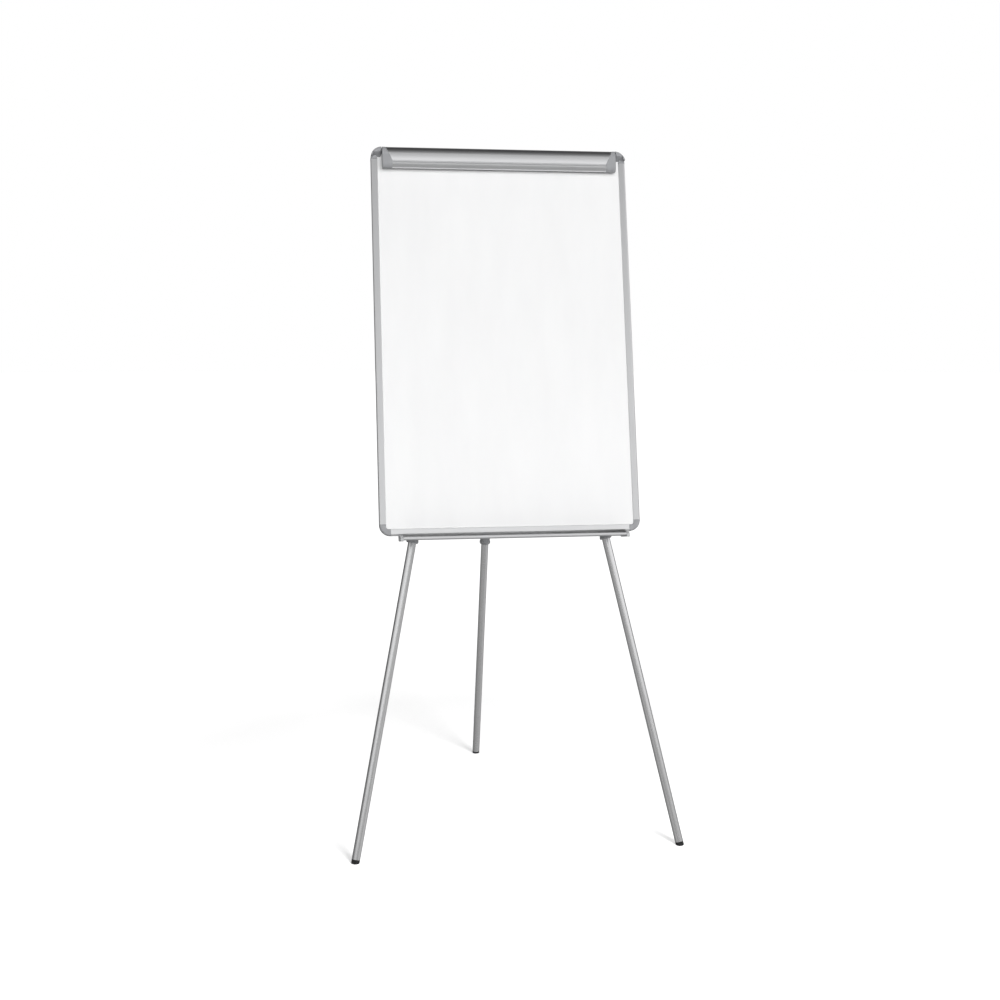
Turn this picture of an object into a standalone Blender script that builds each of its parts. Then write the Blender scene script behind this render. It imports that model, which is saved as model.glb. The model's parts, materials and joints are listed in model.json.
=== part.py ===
"""Flipchart easel: a leaning board on three folding, telescopic legs, with a sprung pad clamp and a pen tray.

Metres, +Z up. The origin is on the floor, in the middle of the footprint, and the board faces -Y.
Board pieces are modelled in the board's own frame: x across, z up along the board from its bottom edge,
-y straight out of its face. Leg pieces are modelled in their leg's frame: the pivot is at the origin and
the leg runs down -z. Sections along the board's width are drawn as (out, up): out of the face, up the board.
"""

import math

import bmesh
import bpy
from mathutils import Matrix, Vector

MM = 0.001
GAP = 0.3 * MM

# Board
BOARD_WIDTH = 0.700
BOARD_HEIGHT = 1.048
BOARD_BOTTOM = 0.824
LEAN = math.radians(12.6)
RAIL_FACE = 18 * MM
RAIL_DEPTH = 20 * MM
RAIL_EDGE = 4.5 * MM
RAIL_WALL = 1.6 * MM
LIP = 2.2 * MM
GROOVE_START = 10.5 * MM
CORNER = 30 * MM
CORNER_PROUD = 0.8 * MM
CORNER_FILLET = 4 * MM
PANEL_SKIN = 0.6 * MM
GROOVE_BACK = RAIL_DEPTH - 2.4 * MM

# Pad clamp, as (out of the board's face, down from the board's top edge)
HINGE_OUT = 9.0 * MM
HINGE_DOWN = 9.0 * MM
CLAMP_WALL = 1.6 * MM
CLAMP_BAR_HALF = 0.300
CLAMP_END = 0.320
CAP_CLEAR = GAP
CAP_WALL = 1.2 * MM
CAP_SEAM_TOP = 0.3090
CAP_SEAM_LOW = 0.2930
BROW_CENTRE = (5.0 * MM, 21.3 * MM)
BROW_RADII = (15.5 * MM, 21.0 * MM)
BROW_START = math.radians(77)
PIN_RADIUS = 1.8 * MM
BOSS_RADIUS = 5.5 * MM
BOSS_SPAN = (0.3215, 0.3400)

# Pad hooks
HOOK_PLACE = 0.150
HOOK_DOWN = 28 * MM
HOOK_RAIL_HALF = 0.270

# Pen tray
TRAY_HALF = 0.2925
TRAY_END = 0.301
TRAY_WALL = 1.8 * MM
SCREW_PLACE = 0.230
SCREW_BACK = 10 * MM

# Legs
PIVOT_DROP = 80 * MM
REAR_PIVOT_DROP = 159 * MM
PIVOT_BACK = 36 * MM
PIVOT_SPREAD = 61 * MM
SPLAY = math.radians(11.54)
REAR_SLOPE = math.radians(16.85)
OUTER_RADIUS = 12.5 * MM
OUTER_BORE = 11.35 * MM
INNER_RADIUS = 11.0 * MM
INNER_BORE = 10.0 * MM
TUBE_TOP = 25.3 * MM
OUTER_END = 0.992
OVERLAP = 0.120
FOOT_SHOWS = 9 * MM
EYE_RADIUS = 11 * MM
EYE_HALF = 8.2 * MM
LEG_PIN_RADIUS = 3.0 * MM
LEG_PIN_HOLE = 3.3 * MM
TUBE_SIDES = 24

# Head bracket and leg clips
BRACKET_HALF_WIDE = 105 * MM
BRACKET_HALF_TALL = 44 * MM
BRACKET_TAB_HALF = 36 * MM
BRACKET_TAB_END = 28 * MM
BRACKET_THICK = 4 * MM
BACK_FACE = GROOVE_BACK
EAR_INNER = 9.0 * MM
EAR_THICK = 4.5 * MM
CLIP_UP = 60 * MM
CLIP_HEIGHT = 26 * MM
CLIP_REACH = 14 * MM

ALUMINIUM = ((0.62, 0.63, 0.65), 0.35, 1.0)
GREY_PLASTIC = ((0.36, 0.37, 0.39), 0.5, 0.0)
LIGHT_PLASTIC = ((0.62, 0.63, 0.65), 0.45, 0.0)
WHITE_LACQUER = ((0.93, 0.93, 0.94), 0.15, 0.0)
FIBREBOARD = ((0.45, 0.36, 0.26), 0.9, 0.0)
GALVANISED = ((0.55, 0.56, 0.57), 0.45, 1.0)
STEEL = ((0.50, 0.50, 0.52), 0.3, 1.0)
RUBBER = ((0.02, 0.02, 0.02), 0.8, 0.0)
DARK_PLASTIC = ((0.05, 0.05, 0.055), 0.5, 0.0)


# ---------------------------------------------------------------- scene helpers


def clear_scene():
    for obj in list(bpy.data.objects):
        bpy.data.objects.remove(obj, do_unlink=True)


def new_collection(name):
    collection = bpy.data.collections.new(name)
    bpy.context.scene.collection.children.link(collection)
    return collection


def finish(obj, look):
    """Gives the object a Principled material of its own."""
    colour, roughness, metallic = look
    material = bpy.data.materials.new(obj.name)
    material.use_nodes = True
    shader = material.node_tree.nodes["Principled BSDF"]
    shader.inputs["Base Color"].default_value = (*colour, 1.0)
    shader.inputs["Roughness"].default_value = roughness
    shader.inputs["Metallic"].default_value = metallic
    obj.data.materials.clear()
    obj.data.materials.append(material)


def place(obj, parent, matrix=None, collection=None):
    (collection or PARTS).objects.link(obj)
    obj.parent = parent
    if matrix is not None:
        obj.matrix_local = matrix
    return obj


def frame_empty(name, matrix, parent=None):
    empty = bpy.data.objects.new(name, None)
    empty.empty_display_size = 0.05
    return place(empty, parent, matrix)


def axes(x_axis, y_axis, origin=(0, 0, 0)):
    """A frame with the given x and y axes; its z axis is their cross product."""
    x_axis, y_axis = Vector(x_axis), Vector(y_axis)
    turn = Matrix((x_axis, y_axis, x_axis.cross(y_axis))).transposed()
    return Matrix.Translation(origin) @ turn.to_4x4()


def smooth(mesh, angle=35):
    mesh.shade_smooth()
    mesh.set_sharp_from_angle(angle=math.radians(angle))


# ---------------------------------------------------------------- shape helpers


def arc(centre, radius, start, end, steps):
    """Points of an arc, in degrees; radius is a number or a pair for an ellipse."""
    across, along = radius if isinstance(radius, tuple) else (radius, radius)
    points = []
    for step in range(steps + 1):
        angle = math.radians(start + (end - start) * step / steps)
        points.append((centre[0] + across * math.cos(angle), centre[1] + along * math.sin(angle)))
    return points


def offset_path(path, distance):
    """The path moved to its left by distance, with mitred corners."""
    moved = []
    for index, point in enumerate(path):
        here = Vector(point)
        before = here - Vector(path[index - 1]) if index else None
        after = Vector(path[index + 1]) - here if index + 1 < len(path) else None
        before = (before or after).normalized()
        after = (after or before).normalized()
        left_before = Vector((-before.y, before.x))
        left_after = Vector((-after.y, after.x))
        mitre = (left_before + left_after).normalized()
        moved.append(tuple(here + mitre * (distance / max(0.5, mitre.dot(left_after)))))
    return moved


def outline_curve(name, outlines, thickness):
    """A flat 2D curve of closed outlines, given a thickness centred on its plane."""
    curve = bpy.data.curves.new(name, "CURVE")
    curve.dimensions = "2D"
    curve.fill_mode = "BOTH"
    curve.extrude = thickness / 2
    for outline in outlines:
        spline = curve.splines.new("POLY")
        spline.points.add(len(outline) - 1)
        for point, (x, y) in zip(spline.points, outline):
            point.co = (x, y, 0, 1)
        spline.use_cyclic_u = True
    return curve


def curve_to_mesh(curve, name):
    """The curve's evaluated mesh, with its loose caps welded."""
    holder = bpy.data.objects.new(name + "_curve", curve)
    bpy.context.scene.collection.objects.link(holder)
    graph = bpy.context.evaluated_depsgraph_get()
    mesh = bpy.data.meshes.new_from_object(holder.evaluated_get(graph))
    bpy.data.objects.remove(holder, do_unlink=True)
    shape = bmesh.new()
    shape.from_mesh(mesh)
    bmesh.ops.remove_doubles(shape, verts=shape.verts, dist=0.01 * MM)
    bmesh.ops.recalc_face_normals(shape, faces=shape.faces)
    shape.to_mesh(mesh)
    shape.free()
    mesh.name = name
    return mesh


def extruded(name, outlines, thickness, look, parent, matrix, soft=True):
    mesh = curve_to_mesh(outline_curve(name, outlines, thickness), name)
    obj = place(bpy.data.objects.new(name, mesh), parent, matrix)
    if soft:
        smooth(mesh)
    finish(obj, look)
    return obj


def box_mesh(name, low, high):
    size = Vector(high) - Vector(low)
    middle = (Vector(high) + Vector(low)) / 2
    shape = bmesh.new()
    bmesh.ops.create_cube(shape, size=1, matrix=Matrix.Translation(middle) @ Matrix.Diagonal((*size, 1)))
    mesh = bpy.data.meshes.new(name)
    shape.to_mesh(mesh)
    shape.free()
    return mesh


def box(name, low, high, look, parent, bevel=0.0):
    obj = place(bpy.data.objects.new(name, box_mesh(name, low, high)), parent)
    if bevel:
        rounding = obj.modifiers.new("edges", "BEVEL")
        rounding.width = bevel
        rounding.segments = 2
    finish(obj, look)
    return obj


def turned_mesh(name, profile, ring=False):
    """A profile of (radius, height) in the xz plane, joined into a line, or into a loop for a ring."""
    mesh = bpy.data.meshes.new(name)
    edges = [(index, index + 1) for index in range(len(profile) - 1)]
    if ring:
        edges.append((len(profile) - 1, 0))
    mesh.from_pydata([(radius, 0, height) for radius, height in profile], edges, [])
    return mesh


def add_screw(obj, steps):
    screw = obj.modifiers.new("turn", "SCREW")
    screw.steps = steps
    screw.render_steps = steps
    screw.use_merge_vertices = True
    screw.merge_threshold = 0.01 * MM
    screw.use_smooth_shade = True


def turned(name, profile, look, parent, matrix=None, steps=TUBE_SIDES, ring=False):
    obj = place(bpy.data.objects.new(name, turned_mesh(name, profile, ring)), parent, matrix)
    add_screw(obj, steps)
    finish(obj, look)
    return obj


def helper(name, mesh, parent, matrix=None):
    """A cutter, or a shape that is joined to another: it never becomes a part itself."""
    obj = place(bpy.data.objects.new(name, mesh), parent, matrix, CUTTERS)
    obj.hide_render = True
    obj.display_type = "WIRE"
    return obj


def cylinder_mesh(name, radius, low, high, sides=24):
    shape = bmesh.new()
    matrix = Matrix.Translation((0, 0, (low + high) / 2))
    bmesh.ops.create_cone(
        shape, cap_ends=True, segments=sides, radius1=radius, radius2=radius, depth=high - low, matrix=matrix
    )
    mesh = bpy.data.meshes.new(name)
    shape.to_mesh(mesh)
    shape.free()
    return mesh


def combine(obj, other, operation):
    boolean = obj.modifiers.new(other.name, "BOOLEAN")
    boolean.operation = operation
    boolean.object = other
    boolean.solver = "EXACT"


def cut(obj, cutter):
    combine(obj, cutter, "DIFFERENCE")


def join(obj, other):
    combine(obj, other, "UNION")


# ---------------------------------------------------------------- frames


def across(origin=(0, 0, 0)):
    """Frame of a section drawn as (out, up) and run along the board's width."""
    return axes((0, -1, 0), (0, 0, 1), origin)


def pivot_point(side):
    """A leg's pivot in the board's frame: side is -1 or 1 for the front legs and 0 for the rear one."""
    drop = PIVOT_DROP if side else REAR_PIVOT_DROP
    return Vector((side * PIVOT_SPREAD, PIVOT_BACK, BOARD_HEIGHT - drop))


def board_matrix():
    """The board's frame, set back so that the front and rear feet are equally far from the origin."""
    turn = Matrix.Rotation(-LEAN, 4, "X")
    front, rear = turn @ pivot_point(1), turn @ pivot_point(0)
    front_foot = front.y - (BOARD_BOTTOM + front.z) * math.tan(LEAN)
    rear_foot = rear.y + (BOARD_BOTTOM + rear.z) * math.tan(REAR_SLOPE)
    return Matrix.Translation((0, -(front_foot + rear_foot) / 2, BOARD_BOTTOM)) @ turn


def leg_matrix(side):
    """A leg's frame inside the board's frame: side is -1 or 1 for the front legs and 0 for the rear one."""
    if side:
        turn = Matrix.Rotation(-side * SPLAY, 4, "Y")
    else:
        turn = Matrix.Rotation(LEAN + REAR_SLOPE, 4, "X")
    return Matrix.Translation(pivot_point(side)) @ turn


def leg_length(side):
    """Distance from the pivot down the leg's axis to the floor."""
    world = board_matrix() @ leg_matrix(side)
    down = world.to_3x3() @ Vector((0, 0, -1))
    return world.translation.z / -down.z


# ---------------------------------------------------------------- board


def rail_outlines():
    """Rail section as (inwards from the outer edge, back from the face), with its hollow chamber."""
    back_centre = RAIL_DEPTH - RAIL_EDGE
    outer = arc((RAIL_EDGE, RAIL_EDGE), RAIL_EDGE, 270, 180, 6)
    outer += arc((RAIL_EDGE, back_centre), RAIL_EDGE, 180, 90, 6)
    outer += [
        (RAIL_FACE, RAIL_DEPTH),
        (RAIL_FACE, GROOVE_BACK),
        (GROOVE_START, GROOVE_BACK),
        (GROOVE_START, LIP),
        (RAIL_FACE, LIP),
        (RAIL_FACE, 0.6 * MM),
        (RAIL_FACE - 0.6 * MM, 0),
    ]
    inner_radius = RAIL_EDGE - RAIL_WALL
    chamber_end = GROOVE_START - RAIL_WALL
    chamber = arc((RAIL_EDGE, RAIL_EDGE), inner_radius, 270, 180, 3)
    chamber += arc((RAIL_EDGE, back_centre), inner_radius, 180, 90, 3)
    chamber += [(chamber_end, RAIL_DEPTH - RAIL_WALL), (chamber_end, RAIL_WALL)]
    return [outer, chamber]


def make_rails(board):
    half = BOARD_WIDTH / 2
    middle = BOARD_HEIGHT / 2
    places = {
        "frame_rail_left": axes((1, 0, 0), (0, 1, 0), (-half, 0, middle)),
        "frame_rail_right": axes((-1, 0, 0), (0, 1, 0), (half, 0, middle)),
        "frame_rail_bottom": axes((0, 0, 1), (0, 1, 0)),
        "frame_rail_top": axes((0, 0, -1), (0, 1, 0), (0, 0, BOARD_HEIGHT)),
    }
    rails = {}
    for name, matrix in places.items():
        span = BOARD_HEIGHT if name.endswith(("left", "right")) else BOARD_WIDTH
        length = span - 2 * (CORNER + GAP)
        rails[name] = extruded(name, rail_outlines(), length, ALUMINIUM, board, matrix)
    for side in (-1, 1):
        cut(rails["frame_rail_bottom"], screw_hole(f"rail_screw_hole_{side}", side, board, -1 * MM, 4 * MM))


def make_sandwich(board):
    """Steel writing face, fibreboard core and backing sheet, held in the rails' groove."""
    edge = GROOVE_START + GAP
    left, right = -BOARD_WIDTH / 2 + edge, BOARD_WIDTH / 2 - edge
    low, high = edge, BOARD_HEIGHT - edge
    face = LIP + GAP
    core = face + PANEL_SKIN + GAP
    back = GROOVE_BACK - GAP - PANEL_SKIN
    box("writing_panel", (left, face, low), (right, face + PANEL_SKIN, high), WHITE_LACQUER, board)
    box("board_core", (left, core, low), (right, back - GAP, high), FIBREBOARD, board)
    box("back_sheet", (left, back, low), (right, back + PANEL_SKIN, high), GALVANISED, board)


def corner_outline():
    fillet = arc((RAIL_FACE + CORNER_FILLET, RAIL_FACE + CORNER_FILLET), CORNER_FILLET, 270, 180, 4)
    outline = [(CORNER, RAIL_FACE)] + fillet + [(RAIL_FACE, CORNER)]
    return outline + arc((CORNER, CORNER), CORNER, 180, 270, 12)


def weigh_round_edges(mesh, centre, radius):
    """Marks the front and back edges of the cap's outer arc, for its Bevel."""
    weights = mesh.attributes.new("bevel_weight_edge", "FLOAT", "EDGE")
    for edge in mesh.edges:
        first, second = (mesh.vertices[index].co for index in edge.vertices)
        level = abs(first.z - second.z) < 0.01 * MM
        on_arc = all(abs((point.xy - centre).length - radius) < 0.02 * MM for point in (first, second))
        weights.data[edge.index].value = 1.0 if level and on_arc else 0.0


def make_corner_cap(name, board, side, top):
    """Moulded corner over the rails' ends; the top ones carry the clamp's hinge boss."""
    thickness = RAIL_DEPTH + 2 * CORNER_PROUD
    origin = (side * BOARD_WIDTH / 2, RAIL_DEPTH / 2, BOARD_HEIGHT if top else 0)
    matrix = axes((-side, 0, 0), (0, 0, -1 if top else 1), origin)
    cap = extruded(name, [corner_outline()], thickness, GREY_PLASTIC, board, matrix)
    weigh_round_edges(cap.data, Vector((CORNER, CORNER)), CORNER)
    rounding = cap.modifiers.new("outer_edge", "BEVEL")
    rounding.limit_method = "WEIGHT"
    rounding.width = RAIL_EDGE
    rounding.segments = 3
    inner, outer = GROOVE_START, 2 * CORNER
    low_z, high_z = (BOARD_HEIGHT - outer, BOARD_HEIGHT - inner) if top else (inner, outer)
    x_values = sorted((side * (BOARD_WIDTH / 2 - inner), side * (BOARD_WIDTH / 2 - outer)))
    pocket = box_mesh(name + "_pocket", (x_values[0], LIP, low_z), (x_values[1], GROOVE_BACK, high_z))
    cut(cap, helper(name + "_pocket", pocket, board))
    if top:
        add_hinge_boss(cap, board, side)


def add_hinge_boss(cap, board, side):
    start, end = BOSS_SPAN
    centre = (0, -HINGE_OUT, BOARD_HEIGHT - HINGE_DOWN)
    along = axes((0, 1, 0), (0, 0, 1), centre)
    low, high = sorted((side * start, side * end))
    x_low, x_high = low, high
    foot = box_mesh(
        cap.name + "_boss_foot",
        (x_low, -HINGE_OUT, BOARD_HEIGHT - HINGE_DOWN - BOSS_RADIUS * 0.98),
        (x_high, 1.0 * MM, BOARD_HEIGHT - HINGE_DOWN + BOSS_RADIUS * 0.98),
    )
    barrel = cylinder_mesh(cap.name + "_boss", BOSS_RADIUS, low, high)
    bore_low, bore_high = sorted((side * (start - 2 * MM), side * (end - 1.5 * MM)))
    bore = cylinder_mesh(cap.name + "_bore", PIN_RADIUS + GAP, bore_low, bore_high, 16)
    join(cap, helper(cap.name + "_boss_foot", foot, board))
    join(cap, helper(cap.name + "_boss", barrel, board, along))
    cut(cap, helper(cap.name + "_bore", bore, board, along))


# ---------------------------------------------------------------- pad clamp


def brow_path():
    """The clamp's outer surface from its top edge to the groove, as (out, up) from the board's top."""
    start = math.degrees(BROW_START)
    brow = arc((BROW_CENTRE[0], -BROW_CENTRE[1]), BROW_RADII, start, 0, 14)
    front = BROW_CENTRE[0] + BROW_RADII[0]
    return brow + [(front + 0.2 * MM, -32 * MM), (front + 0.7 * MM, -38.5 * MM), (front + 0.9 * MM, -40.5 * MM)]


def lip_path():
    """The clamp's lower lip, from below the grooves round to its foot at the panel."""
    lip = arc((13.5 * MM, -53.5 * MM), (7.3 * MM, 7.6 * MM), 8, -78, 9)
    return [(21.0 * MM, -50.6 * MM)] + lip + [(8 * MM, -61.4 * MM), (1.6 * MM, -60.4 * MM)]


def groove(top, depth, height):
    """A square groove in the clamp's face, as (out, up) points from its top edge down."""
    front = 21.2 * MM
    return [
        (front, -top),
        (front - depth, -top - 0.25 * MM),
        (front - depth, -top - height + 0.25 * MM),
        (front, -top - height),
    ]


def make_clamp_bar(hinge, to_board):
    grooves = groove(41.6 * MM, 1.0 * MM, 2.6 * MM) + groove(48.4 * MM, 0.6 * MM, 1.4 * MM)
    outer = brow_path() + grooves + lip_path()
    inner = offset_path(brow_path() + [(21.0 * MM, -45 * MM)] + lip_path(), -CLAMP_WALL)
    outline = outer + inner[::-1]
    matrix = to_board @ across((0, 0, BOARD_HEIGHT))
    extruded("clamp_bar", [outline], 2 * CLAMP_BAR_HALF, ALUMINIUM, hinge, matrix)


def clamp_skin(distance):
    """The clamp's outer surface without its grooves, moved out by distance."""
    return offset_path(brow_path() + [(21.0 * MM, -45 * MM)] + lip_path(), distance)


def clamp_filled_outline(distance, back, low_back, hinge_radius):
    """A closed section: the clamp's outer surface moved out, closed behind round the hinge's axis."""
    skin = clamp_skin(distance)
    skin = [point for point in skin if point[0] > back]
    bottom = skin[-1][1]
    behind = [
        (low_back, bottom),
        (low_back, -20.5 * MM),
        (back, -19.5 * MM),
    ]
    return skin + behind + arc((HINGE_OUT, -HINGE_DOWN), hinge_radius, 180, 97, 6)


def make_clamp_end_cap(name, hinge, to_board, side):
    """Moulded end of the clamp: a hollow end wall, and a skin that laps over the bar's end."""
    matrix = to_board @ across((0, 0, BOARD_HEIGHT))
    outside = CAP_CLEAR + CAP_WALL

    def section(label, outline, start, end):
        low, high = sorted((side * start, side * end))
        mesh = curve_to_mesh(outline_curve(label, [outline], high - low), label)
        return mesh, to_board @ across(((low + high) / 2, 0, BOARD_HEIGHT))

    mesh, place_at = section(name, clamp_filled_outline(outside, 1.4 * MM, -2.0 * MM, 7.6 * MM), 0.276, CLAMP_END)
    cap = place(bpy.data.objects.new(name, mesh), hinge, place_at)
    inner = clamp_filled_outline(-0.6 * MM, 2.9 * MM, -0.4 * MM, 6.1 * MM)
    mesh, place_at = section(name + "_hollow", inner, CLAMP_BAR_HALF - MM, CLAMP_END - 2.5 * MM)
    cut(cap, helper(name + "_hollow", mesh, hinge, place_at))
    lap = clamp_skin(CAP_CLEAR)
    lap = lap + [(-6 * MM, lap[-1][1]), (-6 * MM, 6 * MM), (lap[0][0], 6 * MM)]
    mesh, place_at = section(name + "_lap", lap, 0.270, CLAMP_BAR_HALF + GAP)
    cut(cap, helper(name + "_lap", mesh, hinge, place_at))
    seam = [(CAP_SEAM_TOP, 6 * MM), (CAP_SEAM_LOW, -41 * MM), (CAP_SEAM_LOW, -70 * MM), (0.27, -70 * MM), (0.27, 6 * MM)]
    seam = [(side * x, z) for x, z in seam]
    mesh = curve_to_mesh(outline_curve(name + "_seam", [seam], 0.12), name + "_seam")
    flat = to_board @ axes((1, 0, 0), (0, 0, 1), (0, 0, BOARD_HEIGHT))
    cut(cap, helper(name + "_seam", mesh, hinge, flat))
    bore_low, bore_high = sorted((side * (CLAMP_END - 4 * MM), side * (CLAMP_END + MM)))
    bore = cylinder_mesh(name + "_bore", PIN_RADIUS + GAP, bore_low, bore_high, 16)
    hinge_line = to_board @ axes((0, 1, 0), (0, 0, 1), (0, -HINGE_OUT, BOARD_HEIGHT - HINGE_DOWN))
    cut(cap, helper(name + "_bore", bore, hinge, hinge_line))
    smooth(cap.data)
    finish(cap, GREY_PLASTIC)


def make_grip_strip(hinge, to_board):
    """Soft strip along the lip's foot that presses the pad to the panel."""
    outline = [(-2.2 * MM, -57.4 * MM), (-2.2 * MM, -60.4 * MM), (-1.4 * MM, -61.2 * MM), (1.2 * MM, -61.2 * MM)]
    outline += [(1.2 * MM, -56.8 * MM), (-1.4 * MM, -56.8 * MM)]
    matrix = to_board @ across((0, 0, BOARD_HEIGHT))
    extruded("clamp_grip_strip", [outline], 2 * (CAP_SEAM_LOW - MM), RUBBER, hinge, matrix, soft=False)


def make_hinge_pin(name, board, side):
    low, high = sorted((side * 0.3055, side * (BOSS_SPAN[1] - 2 * MM)))
    mesh = cylinder_mesh(name, PIN_RADIUS, low, high, 16)
    pin = place(
        bpy.data.objects.new(name, mesh),
        board,
        axes((0, 1, 0), (0, 0, 1), (0, -HINGE_OUT, BOARD_HEIGHT - HINGE_DOWN)),
    )
    smooth(mesh)
    finish(pin, STEEL)


def make_spring(name, board, side):
    """Torsion spring round the hinge pin, with one end leg towards the rail."""
    turns, points_a_turn, radius, pitch = 4, 8, 3.0 * MM, 1.7 * MM
    start = side * 0.3068
    curve = bpy.data.curves.new(name, "CURVE")
    curve.dimensions = "3D"
    curve.bevel_depth = 0.45 * MM
    curve.bevel_resolution = 1
    curve.use_fill_caps = True
    route = []
    for step in range(turns * points_a_turn + 1):
        angle = 2 * math.pi * step / points_a_turn
        x = start + side * pitch * step / points_a_turn
        route.append((x, -HINGE_OUT + radius * math.cos(angle), BOARD_HEIGHT - HINGE_DOWN + radius * math.sin(angle)))
    last = route[-1]
    route.append((last[0], last[1], last[2] + 2.4 * MM))
    spline = curve.splines.new("POLY")
    spline.points.add(len(route) - 1)
    for point, position in zip(spline.points, route):
        point.co = (*position, 1)
    obj = place(bpy.data.objects.new(name, curve), board)
    finish(obj, STEEL)


# ---------------------------------------------------------------- pad hooks


def make_hook_rail(board):
    """T-shaped strip on the panel behind the clamp, on which the pad hooks slide."""
    top, wide, narrow = HOOK_DOWN, 6.0 * MM, 4.5 * MM
    outline = [
        (-2.2 * MM, -top + narrow),
        (-0.7 * MM, -top + narrow),
        (-0.7 * MM, -top + wide),
        (0.8 * MM, -top + wide),
        (0.8 * MM, -top - wide),
        (-0.7 * MM, -top - wide),
        (-0.7 * MM, -top - narrow),
        (-2.2 * MM, -top - narrow),
    ]
    matrix = across((0, 0, BOARD_HEIGHT))
    extruded("hook_rail", [outline], 2 * HOOK_RAIL_HALF, ALUMINIUM, board, matrix, soft=False)


def make_pad_hook(name, board, side):
    """Saddle that slides on the hook rail, with a stud that goes through the pad's hole."""
    top = HOOK_DOWN
    outline = [
        (-2.0 * MM, -top + 8.0 * MM),
        (2.8 * MM, -top + 8.0 * MM),
        (2.8 * MM, -top - 8.0 * MM),
        (-2.0 * MM, -top - 8.0 * MM),
        (-2.0 * MM, -top - 4.9 * MM),
        (-1.05 * MM, -top - 4.9 * MM),
        (-1.05 * MM, -top - 6.35 * MM),
        (1.15 * MM, -top - 6.35 * MM),
        (1.15 * MM, -top + 6.35 * MM),
        (-1.05 * MM, -top + 6.35 * MM),
        (-1.05 * MM, -top + 4.9 * MM),
        (-2.0 * MM, -top + 4.9 * MM),
    ]
    slide = frame_empty(name + "_frame", Matrix.Translation((side * HOOK_PLACE, 0, 0)), board)
    hook = extruded(name, [outline], 16 * MM, DARK_PLASTIC, slide, across((0, 0, BOARD_HEIGHT)), soft=False)
    outwards = axes((1, 0, 0), (0, 0, 1), (0, 0, BOARD_HEIGHT - HOOK_DOWN))
    profile = [(0, 13 * MM), (3.0 * MM, 13 * MM), (3.6 * MM, 12 * MM), (3.0 * MM, 10.6 * MM)]
    profile += [(2.6 * MM, 10.2 * MM), (2.6 * MM, 2.0 * MM), (0, 2.0 * MM)]
    stud = helper(name + "_stud", turned_mesh(name + "_stud", profile), slide, outwards)
    add_screw(stud, 16)
    join(hook, stud)


# ---------------------------------------------------------------- pen tray


def tray_path():
    """The tray's outer surface as (out, up) from the board's bottom edge: flange, floor, lip and its brow."""
    path = [(-19 * MM, -2.1 * MM), (-1.5 * MM, -2.1 * MM), (2.5 * MM, -4.5 * MM), (5.5 * MM, -11 * MM)]
    path += [(9 * MM, -13.6 * MM), (64 * MM, -15.6 * MM), (69.5 * MM, -17.2 * MM)]
    path += arc((72.4 * MM, -14.8 * MM), 2.6 * MM, 262, 360, 5)
    path += [(75.0 * MM, -10.0 * MM), (74.3 * MM, -9.0 * MM)]
    path += [(71.0 * MM, -8.4 * MM), (66.5 * MM, -3.0 * MM), (63.4 * MM, -0.1 * MM)]
    return path


def tray_outline():
    outer = tray_path()
    inner = offset_path(outer, TRAY_WALL)
    return outer + inner[::-1]


def screw_hole(name, side, board, low, high):
    hole = cylinder_mesh(name, 1.5 * MM + GAP, low, high, 12)
    return helper(name, hole, board, Matrix.Translation((side * SCREW_PLACE, SCREW_BACK, 0)))


def make_tray(board):
    tray = extruded("pen_tray", [tray_outline()], 2 * TRAY_HALF, ALUMINIUM, board, across())
    for side in (-1, 1):
        cut(tray, screw_hole(f"tray_screw_hole_{side}", side, board, -4 * MM, 0.5 * MM))


def make_tray_end(name, board, side):
    outline = [(0.6 * MM, -0.6 * MM), (56 * MM, -2.5 * MM), (62 * MM, 1.0 * MM), (65 * MM, 0.5 * MM)]
    outline += [(73.0 * MM, -8.0 * MM), (76.2 * MM, -9.6 * MM), (77.0 * MM, -12 * MM), (77.0 * MM, -19.5 * MM)]
    outline += [(75.0 * MM, -21.0 * MM), (68 * MM, -20.0 * MM), (8 * MM, -16.0 * MM), (3 * MM, -12 * MM)]
    low, high = sorted((side * (TRAY_HALF + GAP), side * TRAY_END))
    mesh_object = extruded(name, [outline], high - low, LIGHT_PLASTIC, board, across(((low + high) / 2, 0, 0)))
    rounding = mesh_object.modifiers.new("edges", "BEVEL")
    rounding.width = 1.2 * MM
    rounding.segments = 2
    rounding.limit_method = "ANGLE"
    rounding.angle_limit = math.radians(50)


def make_tray_screw(name, board, side):
    profile = [(0, 6.5 * MM), (1.0 * MM, 6.5 * MM), (1.5 * MM, 5.6 * MM), (1.5 * MM, -2.4 * MM)]
    profile += [(3.2 * MM, -2.4 * MM), (2.8 * MM, -3.8 * MM), (1.6 * MM, -4.5 * MM), (0, -4.5 * MM)]
    turned(name, profile, STEEL, board, Matrix.Translation((side * SCREW_PLACE, SCREW_BACK, 0)), 12)


# ---------------------------------------------------------------- head bracket and leg clips


def bracket_outline():
    """The plate as (across, up) from the front pivots' line: a wide top and a tab down to the rear pivot."""
    wide, tall, tab, corner = BRACKET_HALF_WIDE, BRACKET_HALF_TALL, BRACKET_TAB_HALF, 8 * MM
    end = PIVOT_DROP - REAR_PIVOT_DROP - BRACKET_TAB_END
    right = arc((tab - corner, end + corner), corner, 270, 360, 3)
    right += [(tab, -tall - 14 * MM), (tab + 4 * MM, -tall - 8 * MM)]
    right += [(wide - 6 * MM, -tall + 22 * MM), (wide, -tall + 30 * MM)]
    right += arc((wide - corner, tall - corner), corner, 0, 90, 3)
    return right + [(-x, z) for x, z in reversed(right)]


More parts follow.
